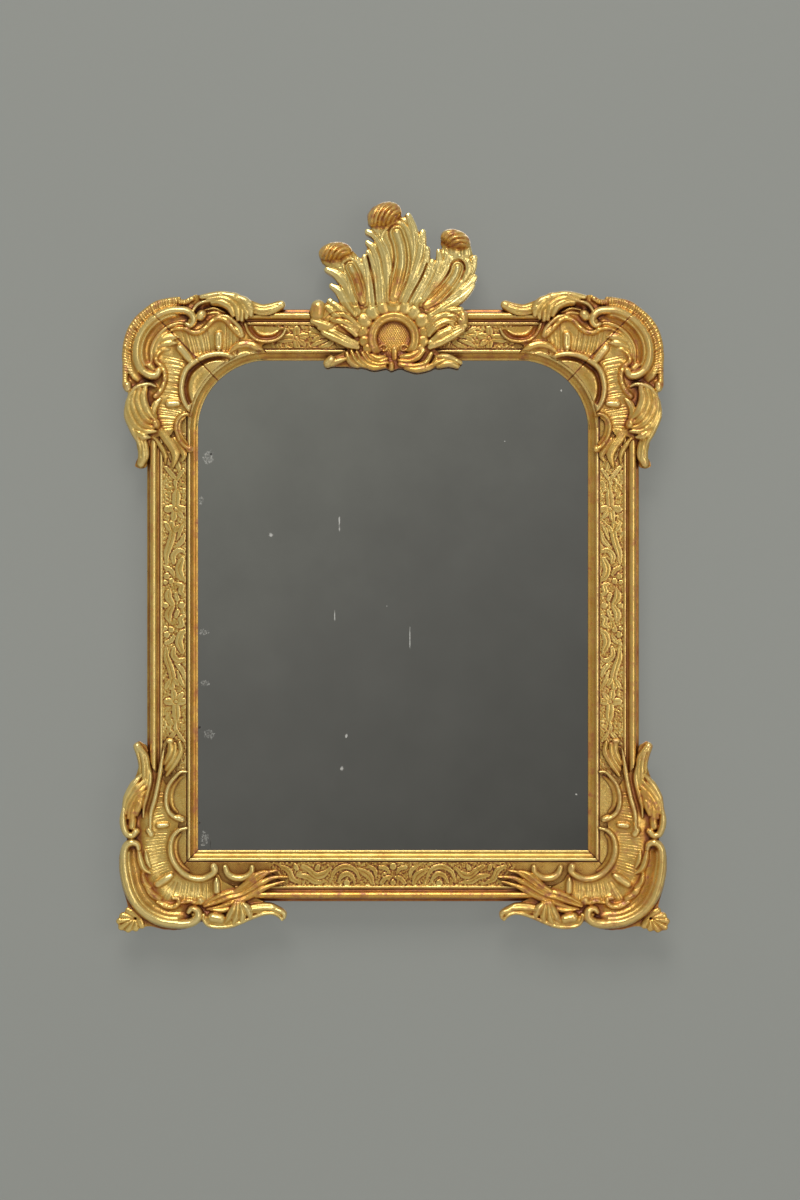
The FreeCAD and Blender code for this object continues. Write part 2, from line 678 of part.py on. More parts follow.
for index, name in enumerate(("backboard_bottom", "backboard_middle", "backboard_top")):
    low = -rebate_half_height + size("board_clearance") + index * board_height
    corner_point = Vector(-board_width / 2, -SILVER_BACK, low)
    keep_shape(name, Part.makeBox(board_width, size("board_thickness"), board_height, corner_point))
    for share in BOARD_SPRIG_SHARES:
        z = low + share * board_height
        sprigs["right_stile"].append(sprig(rebate_half_width, z, Vector(1, 0, 0)))
        sprigs["left_stile"].append(sprig(-rebate_half_width, z, Vector(-1, 0, 0)))
for share in RAIL_SPRIG_SHARES:
    x = share * rebate_half_width
    sprigs["top_rail"].append(sprig(x, rebate_half_height, Vector(0, 0, 1)))
    sprigs["bottom_rail"].append(sprig(x, -rebate_half_height, Vector(0, 0, -1)))
keep_shape("backboard_sprigs", Part.makeCompound(sum(sprigs.values(), [])))


# Hanger: a strap with a rolled knuckle, its screws and the ring that swings in it

def hanger_strap(screws):
    """Strap on the rail's back, rolled at the top into the knuckle that holds the ring."""
    bore = size("ring_wire_radius") + size("ring_running_gap")
    outer = bore + size("knuckle_wall")
    width = size("strap_width")
    stand_off = size("hinge_stand_off")
    strap = Part.makeBox(width, size("strap_thickness"), size("strap_length"),
                         Vector(-width / 2, 0, HINGE_Z - outer - size("strap_length")))
    half = size("knuckle_length") / 2
    axis_end = Vector(-half, stand_off, HINGE_Z)
    along = Vector(1, 0, 0)
    neck = Part.makeBox(2 * half, stand_off, outer, Vector(-half, 0, HINGE_Z - outer))
    knuckle = Part.makeCylinder(outer, 2 * half, axis_end, along)
    hole = Part.makeCylinder(bore, 2 * half, axis_end, along)
    return fuse([strap, neck, knuckle]).cut([hole] + screws)


def hanger_ring():
    """A closed D of round wire: straight bar in the knuckle, two legs and a half-round bow."""
    half = size("ring_half_width")
    corner = size("ring_corner_radius")
    leg = size("ring_leg")
    y = size("hinge_stand_off")
    diagonal = corner * (1 - DIAGONAL)

    def at(x, drop):
        return Vector(x, y, HINGE_Z - drop)

    path = Part.Wire([
        Part.LineSegment(at(0, 0), at(half - corner, 0)).toShape(),
        Part.Arc(at(half - corner, 0), at(half - diagonal, diagonal), at(half, corner)).toShape(),
        Part.LineSegment(at(half, corner), at(half, leg)).toShape(),
        Part.Arc(at(half, leg), at(0, leg + half), at(-half, leg)).toShape(),
        Part.LineSegment(at(-half, leg), at(-half, corner)).toShape(),
        Part.Arc(at(-half, corner), at(diagonal - half, diagonal), at(corner - half, 0)).toShape(),
        Part.LineSegment(at(corner - half, 0), at(0, 0)).toShape(),
    ])
    circle = Part.Wire([Part.Circle(at(0, 0), Vector(1, 0, 0), size("ring_wire_radius")).toShape()])
    return path.makePipeShell([circle], True, True)


strap_top = HINGE_Z - size("ring_wire_radius") - size("ring_running_gap") - size("knuckle_wall")
hanger_screws = [wood_screw(0, size("strap_thickness"), strap_top - share * size("strap_length"),
                            size("hanger_screw_length"), size("screw_head_radius"), size("strap_thickness") / 2)
                 for share in STRAP_SCREW_SHARES]
keep_shape("hanger_strap", hanger_strap(hanger_screws))
keep_shape("hanger_screws", Part.makeCompound(hanger_screws))
keep_shape("hanger_ring", hanger_ring())


# Rails and stiles with their carving seats, key slots, brace housings and nail holes

bottom = TOP_EDGE - size("brace_foot")
housings = [Part.makeBox(size("brace_width"), size("brace_thickness"), size("brace_foot"),
                         Vector(side * size("brace_spacing") / 2 - size("brace_width") / 2,
                                -size("brace_thickness"), bottom)) for side in (-1, 1)]
for label, body in FRAME.items():
    cuts = seats[label] + sprigs[label]
    cuts += [key_shapes[corner] for corner in CORNERS]
    if label == "top_rail":
        cuts += housings + brace_screws + hanger_screws
    waste = feature(label + "_waste", Part.makeCompound([cuts[0].multiFuse(cuts[1:])]))
    member = doc.addObject("Part::Cut", label)
    member.Base = body
    member.Tool = waste
    keep(label, member)

doc.recompute()


def check_and_write():
    """Stop on any failed object or bad solid, then write one file for each sub-part."""
    failed = [obj.Label for obj in doc.Objects if {"Invalid", "Error"} & set(obj.State)]
    for obj in nodes:
        if obj.Shape.isNull() or not obj.Shape.isValid() or not obj.Shape.Solids:
            failed.append(obj.Label)
    if failed:
        raise RuntimeError("failed: " + ", ".join(failed))
    os.makedirs("parts", exist_ok=True)
    for obj in nodes:
        obj.Shape.exportStep(os.path.join("parts", obj.Label + ".step"))
    print(len(nodes), "sub-parts written")


check_and_write()
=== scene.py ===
"""Rococo gilt wall mirror: the looks of the part, carved over its construction."""

import math

import bpy
import numpy as np
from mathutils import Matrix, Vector


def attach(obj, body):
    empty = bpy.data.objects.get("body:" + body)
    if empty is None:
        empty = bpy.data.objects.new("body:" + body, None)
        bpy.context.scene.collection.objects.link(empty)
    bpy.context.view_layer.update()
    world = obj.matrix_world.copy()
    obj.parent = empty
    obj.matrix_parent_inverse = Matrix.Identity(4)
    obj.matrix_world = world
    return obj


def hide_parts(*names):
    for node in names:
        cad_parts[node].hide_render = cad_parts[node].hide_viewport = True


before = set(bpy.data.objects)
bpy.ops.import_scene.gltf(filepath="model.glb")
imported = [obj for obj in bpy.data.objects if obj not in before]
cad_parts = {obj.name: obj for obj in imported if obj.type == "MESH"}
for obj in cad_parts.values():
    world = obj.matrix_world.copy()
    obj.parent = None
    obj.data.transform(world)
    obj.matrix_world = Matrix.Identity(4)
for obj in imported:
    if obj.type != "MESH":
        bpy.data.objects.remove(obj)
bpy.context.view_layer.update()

# Sizes repeated from the construction, in millimetres
BACK_Y = -5.0
SIGHT_CENTRE_Z = -365.0
SIGHT_HALF_X = 254.0
SIGHT_HALF_Z = 319.0
MOULDING = 66.0
REBATE = 14.0
CREST_Z = 20.0
ARCH_RADIUS = 91.0
SEAT = 24.0
FRIEZE = 25.5
GROUND = 29.5

# Places across the moulding where the lip ends and the frieze begins and ends
LIP = 14.0
FRIEZE_EDGES = (15.0, 45.6)

# Carving grid, softness of the gesso and unevenness of the hand
GRID = 0.7
SOFTNESS = 0.45
BODY = 3.2
SHALLOW = 0.75
SEED = 7
STIPPLE = 0.14
STIPPLE_CELLS = 0.9
WAVER = 1.2
WAVER_CELLS = 5.0
FLUTE_SHIFT = 0.3
FLUTE_WIDTHS = (0.8, 1.25)
FLUTE_DEPTHS = (0.7, 1.2)

# Forms of the strokes
TAPER = [0, 0.3, 0.7, 1]
SWEEP_TAPER = [0, 0.25, 0.75, 1]
SWEEP_FADE = [0, 0.07, 0.93, 1]
END_HEIGHT = 0.1
PAST_END = 0.2
RIB_DEPTH = 0.18
BAR_DEPTH = 0.22
LEAF_CROWN = 3
OUTLINE = 1.5
HATCH_SLOPE = 0.6

# Gilding of level places, and the weight of ridges by their width; the weights paint ridges lighter and
# hollows darker, painted highlight and shade along with the burnish and toning of old gilding
MEAN_GILDING = 0.50
RIDGE_SHEEN_AND_SHADE = ((0.085, 1.6), (0.06, 5.0))

# Cover that lowers the rails under the carving
COVER_MARGIN = 1.0
COVERED = 0.9

SIDES = {"left": -1, "right": 1}
ENDS = {"upper": 1, "lower": -1}


def metres(x, h, z):
    """Turns plan place and height above the back into row coordinates."""
    return np.stack([x, BACK_Y - h, z], axis=-1) * 0.001


def smooth_path(points, spacing=0.6):
    """Passes a rounded curve through the points and samples it evenly."""
    points = np.array(points, float)
    if len(points) == 1:
        return points
    padded = np.vstack([2 * points[0] - points[1], points, 2 * points[-1] - points[-2]])
    samples = []
    for before, start, end, after in zip(padded, padded[1:], padded[2:], padded[3:]):
        count = max(2, int(np.linalg.norm(end - start) / spacing))
        t = np.arange(count)[:, None] / count
        curve = 2 * start + (end - before) * t
        curve = curve + (2 * before - 5 * start + 4 * end - after) * t ** 2
        curve = curve + (3 * start - before - 3 * end + after) * t ** 3
        samples.append(curve / 2)
    samples.append(points[-1:])
    return np.vstack(samples)


def inside(polygon, x, y):
    """Tells which places lie within a closed outline."""
    result = np.zeros(x.shape, bool)
    for (x0, y0), (x1, y1) in zip(polygon, np.roll(polygon, -1, axis=0)):
        if y0 == y1:
            continue
        crosses = (y0 > y) != (y1 > y)
        result ^= crosses & (x < x0 + (y - y0) * (x1 - x0) / (y1 - y0))
    return result


def blur(values, width):
    """Softens a grid with a bell curve of the given width in cells."""
    reach = int(3 * width) + 1
    bell = np.exp(-0.5 * (np.arange(-reach, reach + 1) / width) ** 2)
    bell /= bell.sum()
    for axis in (0, 1):
        pad = [(reach, reach) if axis == i else (0, 0) for i in (0, 1)]
        wide = np.pad(values, pad, mode="edge")
        size = values.shape[axis]
        parts = [np.take(wide, range(i, i + size), axis) * share for i, share in enumerate(bell)]
        values = sum(parts)
    return values


class Relief:
    """Carving drawn in plan as strokes on a grid of heights."""

    def __init__(self, low, high, owners):
        self.a = np.arange(low[0], high[0], GRID)
        self.b = np.arange(low[1], high[1], GRID)
        self.shape = (len(self.a), len(self.b))
        self.height = np.zeros(self.shape)
        self.mask = np.zeros(self.shape, bool)
        self.owner = np.zeros(self.shape, int)
        self.lift = np.zeros(self.shape)
        self.wear = np.zeros(self.shape)
        self.fixed = np.full(self.shape, np.nan)
        self.exact = np.full(self.shape, np.nan)
        self.owners = owners

    def places(self):
        return np.meshgrid(self.a, self.b, indexing="ij")

    def within(self, outline):
        return inside(np.array(outline, float), *self.places())

    def ground(self, outline, owner_of):
        """Lays the level ground of the carving within an outline."""
        found = self.within(outline)
        self.mask |= found
        self.height[found] = GROUND
        self.owner[found] = owner_of(*self.places())[found]

    def measure(self, points, reach):
        """Finds side offset, distance and share of length of each cell near a path."""
        path = smooth_path(points)
        low = path.min(axis=0) - reach
        high = path.max(axis=0) + reach
        window = (
            slice(*np.searchsorted(self.a, (low[0], high[0]))),
            slice(*np.searchsorted(self.b, (low[1], high[1]))),
        )
        a = self.a[window[0]][:, None]
        b = self.b[window[1]][None, :]
        distance = np.full((a.size, b.size), np.inf)
        nearest = np.zeros((a.size, b.size), int)
        for k, (pa, pb) in enumerate(path):
            d = (a - pa) ** 2 + (b - pb) ** 2
            closer = d < distance
            distance[closer] = d[closer]
            nearest[closer] = k
        distance = np.sqrt(distance)
        if len(path) == 1:
            return window, distance, distance, np.zeros(distance.shape)
        tangent = np.gradient(path, axis=0)
        pa, pb = path[nearest, 0], path[nearest, 1]
        ta, tb = tangent[nearest, 0], tangent[nearest, 1]
        side = np.sign(ta * (b - pb) - tb * (a - pa))
        return window, side * distance, distance, nearest / (len(path) - 1)

    def near(self, points, half, ends=(1, 1)):
        """Measures a tapering stroke: its size, then offset and distance in half widths."""
        window, offset, distance, share = self.measure(points, half)
        size = np.interp(share, TAPER, [ends[0], 1, 1, ends[1]])
        return window, size, offset / (half * size), np.minimum(distance / (half * size), 1), share

    def roll(self, owner, points, half, base, rise, ends=(1, 1), ribs=0, bars=0, fill=False, crown=2):
        """Lays a ridge, round or flat in crown, with ribs along it or bars across it."""
        window, size, offset, v, share = self.near(points, half, ends)
        form = np.sqrt(1 - v ** crown)
        if ribs:
            form = form * (1 - RIB_DEPTH * (1 - np.abs(np.cos(0.5 * math.pi * ribs * offset))))
        if bars:
            form = form * (1 - BAR_DEPTH * (1 - np.abs(np.cos(math.pi * bars * share))))
        self.lay(owner, window, base + rise * size ** 0.5 * form, v < 1, fill)

    def rolls(self, owner, strokes):
        """Lays ridges of one piece: path, half width, base, rise, ends, ribs and bars."""
        for stroke in strokes:
            self.roll(owner, *stroke)

    def lay(self, owner, window, height, touched, fill=False):
        """Keeps the higher of the old and the new surface, or the new one where it fills."""
        old = self.height[window]
        won = touched & ((height > old) | fill)
        old[won] = height[won]
        self.mask[window] |= touched
        self.owner[window][won] = self.owners.index(owner)

    def cut(self, points, half, depth, ends=(1, 1)):
        """Sinks a rounded channel into what is there."""
        window, size, _, v, _ = self.near(points, half, ends)
        self.height[window] -= depth * size ** 0.5 * (1 - v ** 2)

    def leaves(self, owner, strands, half, base, rise, ends=(1, 1), ribs=0, groove=2.0):
        """Lays flat-crowned leaves, each with a dark line round it."""
        for points in strands:
            self.cut(points, half + OUTLINE, groove, ends)
            self.roll(owner, points, half, base, rise, ends, ribs, crown=LEAF_CROWN)

    def sweep(self, owner, points, section, ends=(1, 1)):
        """Runs a moulding section along a path; offsets are positive on its left."""
        offsets, heights = np.array(section, float).T
        window, offset, _, share = self.measure(points, np.abs(offsets).max())
        place = offset / np.interp(share, SWEEP_TAPER, [ends[0], 1, 1, ends[1]])
        fade = np.interp(share, SWEEP_FADE, [END_HEIGHT, 1, 1, END_HEIGHT])
        height = GROUND + fade * (np.interp(place, offsets, heights) - GROUND)
        touched = (place > offsets[0]) & (place < offsets[-1])
        beyond = (share == 0) | (share == 1)
        a = self.a[window[0]][:, None]
        b = self.b[window[1]][None, :]
        path = smooth_path(points)
        for end, back in ((0, 1), (-1, -2)):
            out = path[end] - path[back]
            past = (a - path[end][0]) * out[0] + (b - path[end][1]) * out[1] > PAST_END
            touched &= ~(beyond & past)
        self.lay(owner, window, height, touched)

    def swell(self, points, half, rise):
        """Lifts or sinks the surface gently along a path."""
        window, _, _, v, _ = self.near(points, half)
        self.height[window] += rise * np.cos(0.5 * math.pi * v) ** 2

    def flutes(self, inner, outer, count, half, depth):
        """Cuts a row of uneven grooves between two guide lines."""
        start = smooth_path(inner)
        stop = smooth_path(outer)
        chance = np.random.default_rng(count)
        for k in range(count):
            share = np.clip((k + FLUTE_SHIFT * chance.uniform(-1, 1)) / (count - 1), 0, 1)
            first = start[int(share * (len(start) - 1))]
            last = stop[int(share * (len(stop) - 1))]
            width = half * chance.uniform(*FLUTE_WIDTHS)
            self.cut([first, last], width, depth * chance.uniform(*FLUTE_DEPTHS))

    def hatch(self, outline, pitch, depth):
        """Cross-hatches the surface within an outline."""
        a, b = self.places()
        found = self.within(outline)
        wave = 2 * math.pi / pitch
        lines = np.cos(wave * (a + HATCH_SLOPE * b)) + np.cos(wave * (a - HATCH_SLOPE * b))
        self.height[found] += 0.5 * depth * lines[found]

    def brighten(self, points, half, amount):
        """Lightens the gold along a path, or darkens it where the amount is negative: fresher gold, and
        painted highlight and shade on the pipes.
        """
        window, _, _, v, _ = self.near(points, half)
        self.lift[window] += amount * (1 - v ** 4)

    def redden(self, points, half, amount):
        """Rubs the gold down to the red bole along a path."""
        window, _, _, v, _ = self.near(points, half)
        self.wear[window] = np.maximum(self.wear[window], amount * (1 - v ** 2))

    def gild(self, fresh, rubbed):
        """Brightens some paths and reddens others: path, half width and amount."""
        for stroke in fresh:
            self.brighten(*stroke)
        for stroke in rubbed:
            self.redden(*stroke)

    def finish(self):
        """Softens the carving and works out hollows and ridges for the gilding, painting ridges lighter and
        hollows darker: painted highlight and shade along with burnish and toning.
        """
        height = np.where(self.mask, self.height, GROUND)
        form = blur(height, BODY / GRID)
        height = blur(form + SHALLOW * (height - form), SOFTNESS / GRID)
        chance = np.random.default_rng(SEED)
        for depth, width in ((STIPPLE, STIPPLE_CELLS), (WAVER, WAVER_CELLS)):
            height = height + depth * blur(chance.standard_normal(self.shape), width)
        self.height = np.where(np.isnan(self.exact), height, self.exact)
        relief = MEAN_GILDING + self.lift
        # Ridges are painted lighter and hollows darker: painted highlight and shade, besides burnish and
        # toning.
        for weight, width in RIDGE_SHEEN_AND_SHADE:
            relief = relief + weight * (self.height - blur(self.height, width / GRID))
        self.relief = np.where(np.isnan(self.fixed), np.clip(relief, 0, 1), self.fixed)

    def cells_at(self, a, b):
        """Finds the nearest cell of each place."""
        i = np.round((a - self.a[0]) / GRID).astype(int)
        j = np.round((b - self.b[0]) / GRID).astype(int)
        return np.clip(i, 0, self.shape[0] - 1), np.clip(j, 0, self.shape[1] - 1)

    def covers(self, a, b):
        """Tells which places lie well under the carving, whose grid is bare at its border."""
        mask = blur(self.mask.astype(float), COVER_MARGIN / GRID)
        return mask[self.cells_at(a, b)] > COVERED


# Upper corner: a runs outward from the sight, b runs up from it
UPPER_OUTLINE = [
    (86, -43), (91, -42.5), (96, -38), (96, -31), (93.5, -24), (93, -5), (93.5, 10), (92, 22), (89, 33),
    (81, 44.5), (84, 46), (77, 55), (67, 63), (61, 66), (62.5, 68.5), (55, 74), (45, 77), (40, 73.5),
    (35, 76.5), (30, 77.5), (20, 75.5), (14, 76), (9, 80), (4, 85), (-8, 83.5), (-20, 86), (-35, 87),
    (-50, 84.5), (-62, 80), (-75, 74), (-85, 72), (-95, 73.5), (-105, 77), (-111, 76.5), (-114, 71),
    (-112, 65), (-104, 60), (-96, 56), (-86, 55), (-76, 57), (-66, 58), (-62, 50), (-66, 44), (-116, 42),
    (-113, 32), (-103, 24), (-92, 22), (-84, 19), (-88, 6), (-78, 4), (-62, 3), (-48, -4), (-40, -9),
    (-22, -21), (-8, -36), (2, -52), (3, -66), (16, -68), (26, -74), (29, -88), (34, -98), (48, -98),
    (58, -104), (62, -114), (63, -126), (66, -140), (74, -142), (82, -139), (80, -132), (76.5, -125),
    (76.5, -112), (78, -100), (82, -90), (87, -80), (90.5, -70), (91, -60), (89, -50),
]


def carve_upper(relief):
    """Draws the upper corner: shell, scrolls and two leaves."""
    relief.ground(UPPER_OUTLINE, mitre_owner)
    ribbon = [
        (36, 36), (30, 39.5), (22, 40.5), (15, 39.5), (9, 36.5), (2, 35), (-5, 37), (-12, 42.5), (-18, 49),
        (-24, 53), (-31, 53.5), (-38, 50), (-44, 43.5), (-49, 37.5), (-54, 32.5),
    ]
    side_ribbon = [
        (44, 13), (50, 8), (53.5, 2), (52, -4), (46, -9), (42.5, -16), (42, -25), (44.5, -34), (49, -42),
        (55, -48),
    ]
    # Hollow of the shell, which rises to the ribbon and is cut with flutes
    relief.swell(ribbon, 15, 2.6)
    relief.swell(side_ribbon, 15, 2.6)
    relief.swell([(18, -2), (8, 8), (-8, 10), (-24, 12)], 9, -1.2)
    relief.flutes([(12, 6), (-2, 9), (-17, 11)], [(20, 36), (2, 31), (-13, 39)], 10, 0.9, 1.7)
    relief.flutes([(-37, 12), (-44, 10), (-52, 8)], [(-37, 46), (-46, 38), (-55, 29)], 5, 0.9, 1.7)
    relief.flutes([(18, 0), (22, -12), (24.5, -26), (25, -40), (23, -50)],
                  [(45, 6), (41, -11), (39, -24), (42, -37), (47, -46)], 12, 0.9, 1.7)
    relief.flutes([(20, -64), (27, -74), (31, -88)], [(47, -57), (52, -70), (48, -90)], 9, 0.8, 1.6)
    # Big scroll: gadrooned rim, channel, broad roll and hollow
    big = [
        (66, -17), (72.5, -12), (77, -3), (78.5, 8), (77.5, 20), (73.5, 32), (66, 43.5), (56, 53), (44, 60),
        (32, 63.5), (21, 64),
    ]
    section = [
        (-18, 30), (-16.5, 34.5), (-14.5, 36), (-12.5, 35.2), (-9.5, 34), (-7.2, 34.6), (-6, 36.8), (-4, 40),
        (-1, 42), (2, 41.5), (4, 38.5), (5.2, 36.5), (6.2, 38), (7.4, 38), (8.4, 35), (10.5, 31.5), (14, 30),
        (17, 30.5), (19, 33), (20.2, 33.5), (21.4, 32), (23, 30),
    ]
    relief.sweep("corner_scroll", big, section)
    rim = [
        (94, -34), (93.5, -15), (93.5, 8), (91.5, 24), (86.5, 39), (78, 52), (67, 62), (54, 71.5),
        (41, 75.5), (28, 75.5), (16, 74.5), (7, 79),
    ]
    relief.roll("corner_scroll", rim, 4.6, 30.5, 5.5, (0.8, 0.8), bars=13)
    relief.flutes([(86, -26), (85, 8), (78, 34), (60, 54), (40, 67), (12, 69)],
                  [(97, -26), (97, 10), (91, 40), (70, 66), (42, 80), (10, 80)], 46, 1.0, 2.2)
    hollow = [(64, -2), (64, 12), (61, 25), (54, 36), (45, 44.5), (34, 50), (22, 51)]
    relief.rolls("corner_scroll", [
        ([(91, -33), (90.5, -37)], 5.6, 30, 8),
        ([(44, 60), (34, 63), (23, 64), (13, 62.5), (6, 56.5), (4.5, 49), (9, 44), (14, 46)], 5.6, 32, 10,
         (0.9, 0.6)),
        ([(9.5, 50)], 3.0, 32, 6),
        ([(78, 4), (76, -5), (73, -11), (68, -17), (60, -21), (53, -20), (49.5, -14)], 5.8, 32, 10,
         (0.9, 0.8)),
        ([(58, -12), (62, -8)], 5.0, 31, 6),
    ])
    relief.roll("shell", [(60, -5), (60, 10), (57, 21), (51, 31), (43, 39), (33, 45), (23, 47.5), (15, 46)],
                3.0, 30, 5.0, (0.5, 0.5))
    # Leaf lobes that spring from the scroll
    relief.rolls("shell", [
        ([(55, -2), (55, 10), (51, 22), (44, 31), (36, 37.5)], 3.6, 30, 5.0, (0.5, 0.5)),
        ([(24, 29.5), (36, 29.5), (49, 24)], 5.2, 30, 5.5, (0.35, 0.8), 2),
        ([(27, 21.5), (39, 21.5), (50, 16)], 4.8, 30, 5.5, (0.35, 0.8), 2),
        ([(36, 13.5), (45, 13), (53, 9)], 4.0, 30, 5.0, (0.35, 0.8), 2),
    ])
    # Pipes
    relief.rolls("shell", [
        ([(22, 15), (8, -2)], 5.4, 30, 7, (1, 0.8)),
        ([(-28, 15), (-28, 32)], 5.2, 29.5, 6.5, (0.8, 1)),
    ])
    relief.cut([(-28, 18), (-28, 30)], 2.2, 1.6)
    relief.roll("shell", [(25, -57), (37, -57.5)], 4.8, 29.5, 6.5, (0.8, 1))
    # Ruffled ribbon
    relief.rolls("shell", [
        (ribbon, 3.5, 31, 7, (0.6, 1), 0, 9),
        ([(-26, 57.5), (-38, 56), (-47, 49.5), (-55, 41), (-58, 34)], 3.2, 31, 7.5, (0.5, 0.9)),
        ([(-50, 40), (-57, 32)], 5.5, 30, 7.5, (0.8, 0.9), 3),
        (side_ribbon, 3.5, 31, 7, (0.6, 1), 0, 8),
    ])
    # Sight scroll, its hollow and the small scrolls beside it
    sight = [
        (3, -66), (10, -65), (16.5, -56), (20, -44), (20, -30), (15, -14), (5, -4), (-9, 4), (-24, 7.5),
        (-38, 6.5), (-46, 2.5), (-51, -4),
    ]
    relief.swell([(4, -56), (9, -40), (6, -25), (-4, -12), (-18, -4), (-34, -1)], 8, 1.5)
    relief.cut([(6, -60), (12, -54), (15, -43), (15, -30), (10.5, -17), (1.5, -8.5), (-11, -0.5), (-25, 2.8),
               (-37, 1.8), (-44, -3)], 4.6, 3.4)
    relief.rolls("sight_scroll", [
        (sight, 3.8, 30.5, 7.0, (0.8, 0.8)),
        ([(4, -63), (8, -60)], 3.6, 31, 6),
        ([(-46, 0), (-44, -3)], 3.6, 31, 6),
    ])
    relief.rolls("stile_leaf", [
        ([(8, -71), (17, -71), (24, -76), (27.5, -85), (26.5, -95), (22.5, -105), (16, -112.5), (9, -116)],
         3.0, 28, 7.5, (0.8, 0.9)),
        ([(16, -75), (21.5, -79), (23.5, -86), (22, -95), (18, -103), (13, -109)], 2.6, 26, 5, (0.6, 0.8)),
        ([(10, -116)], 5.2, 28, 8),
    ])
    relief.roll("rail_leaf", [(-62, 46), (-66, 36), (-73, 28.5), (-82, 24.5), (-92, 24), (-102, 26),
                (-110, 31.5), (-115, 40)], 2.7, 28, 7, (0.8, 0.7))
    relief.cut([(-68, 44), (-72, 36), (-79, 29.5), (-90, 27.8), (-101, 30), (-109, 37)], 3.4, 3.0)
    relief.roll("rail_leaf", [(-74, 43), (-78, 36.5), (-85, 33), (-96, 33), (-104, 37)], 1.8, 28, 3.5,
                (0.6, 0.6))
    striped = [(-42, 10), (-51, 17.5), (-63, 20.5), (-75, 17.5), (-83, 11.5), (-87, 6)]
    relief.roll("rail_leaf", striped, 5.0, 28.5, 7.0, (0.5, 0.5), ribs=3)
    relief.cut([(-53, 9), (-63, 12), (-73, 9)], 3.4, 3)
    # Leaf that rolls over along the rail
    relief.swell([(-14, 76), (-30, 77), (-46, 72), (-58, 64)], 17, 4)
    turnover = [
        [(-6, 81), (-22, 83), (-38, 82.5), (-50, 76.5), (-57, 66), (-58, 51)],
        [(-14, 77), (-29, 78), (-43, 74.5), (-51, 65), (-53, 52)],
        [(-20, 73), (-32, 73), (-42, 67), (-47, 57)],
        [(-34, 84.5), (-48, 81.5), (-58, 75), (-64, 64), (-64, 54)],
        [(-52, 81), (-62, 75.5), (-69, 66), (-70, 57)],
    ]
    relief.leaves("rail_leaf", turnover, 6.0, 32, 9.0, (0.6, 0.5), groove=1.6)
    relief.roll("rail_leaf", [(6, 56), (5, 63), (0, 70.5), (-8, 74.5), (-18, 75.5)], 2.8, 31, 9, (0.8, 0.6))
    relief.cut([(-12, 67), (-24, 68.5), (-36, 63)], 5, 4)
    relief.rolls("rail_leaf", [
        ([(-8, 64), (-22, 66.5), (-36, 61)], 2.0, 29, 4.5, (0.6, 0.6)),
        ([(-10, 59), (-24, 61), (-36, 57)], 2.4, 29, 4.5, (0.6, 0.6)),
        ([(-4, 56), (-6, 58.5)], 6.5, 32, 9.5),
        ([(-60, 74), (-74, 67), (-86, 64), (-98, 66.5), (-109, 71.5)], 8.2, 30, 7, (0.9, 0.7)),
    ])
    relief.cut([(-68, 71), (-82, 66.5), (-94, 67.5), (-104, 71)], 1.5, 1.6)
    relief.cut([(-70, 65), (-82, 61), (-94, 62)], 1.4, 1.5)
    # Leaf that rolls over along the stile
    relief.swell([(84, -48), (85, -62), (80, -78), (72, -92)], 16, 4)
    strands = [
        [(90, -54), (90, -72), (83, -90), (76, -104), (72, -118)],
        [(86.5, -44), (88, -62), (82, -82), (70, -93), (54, -93)],
        [(81, -40), (83, -60), (75.5, -78), (64, -87), (53, -88)],
        [(74.5, -37), (77, -54), (70.5, -71), (62, -80), (53, -83)],
        [(67, -35), (70, -50), (65, -66), (56, -77)],
        [(80, -92), (72, -99), (62, -101)],
    ]
    relief.leaves("stile_leaf", strands, 5.8, 32, 8.5, (0.6, 0.4), groove=1.4)
    relief.rolls("stile_leaf", [
        ([(87, -46), (80, -37), (71, -33), (61, -32), (54, -35)], 3.2, 32, 9, (0.8, 0.6)),
        ([(54, -82), (53, -85)], 5.4, 32, 9.5),
        ([(74, -98), (71, -112), (69.5, -124), (73, -135)], 7.8, 30, 7.5, (0.9, 0.7)),
    ])
    relief.cut([(75, -102), (72.5, -114), (72, -126)], 1.4, 1.6)
    relief.cut([(69, -103), (67, -116), (66.5, -128)], 1.3, 1.5)
    relief.roll("stile_leaf", [(48, -51), (55, -59), (57, -68), (54, -75)], 4.8, 30.5, 6.5, (0.5, 0.6),
                ribs=3)
    # Fronds that run out onto the frieze
    relief.rolls("stile_leaf", [
        ([(50, -90), (40, -103), (33, -113), (28.5, -124), (32, -139)], 6.4, 26.5, 5.5, (0.9, 0.35), 3),
        ([(58, -100), (48, -112), (42, -124), (42, -136)], 3.6, 26.5, 4.5, (0.9, 0.35), 2),
        ([(30, -103), (22, -114), (17, -124), (20, -131)], 4.2, 26.5, 4.5, (0.8, 0.5), 2),
    ])
    # Crack along the mitre
    crack = [(-26, -26), (2, 3), (28, 30), (58, 60)]
    relief.cut(crack, 0.7, 1.4)
    # Gold kept fresh, and gold rubbed down to the red bole
    fresh = [
        ([(26, -78), (33, -50), (33, -20), (24, 12), (2, 24), (-28, 27), (-56, 20)], 24, 0.10),
        (rim, 12, 0.10),
        (hollow, 7, 0.14),
        (crack, 1.0, -0.4),
    ]
    rubbed = [
        (rim, 5, 0.5),
        (hollow, 7, 0.5),
        (ribbon, 6, 0.6),
        (side_ribbon, 6, 0.6),
        ([(10, -71), (24, -77), (27, -90), (20, -107), (9, -116)], 7, 0.7),
        (striped, 8, 0.7),
        ([(-66, 36), (-82, 24.5), (-102, 26)], 9, 0.5),
        ([(62, -84), (53, -85)], 9, 0.8),
    ]
    relief.gild(fresh, rubbed)


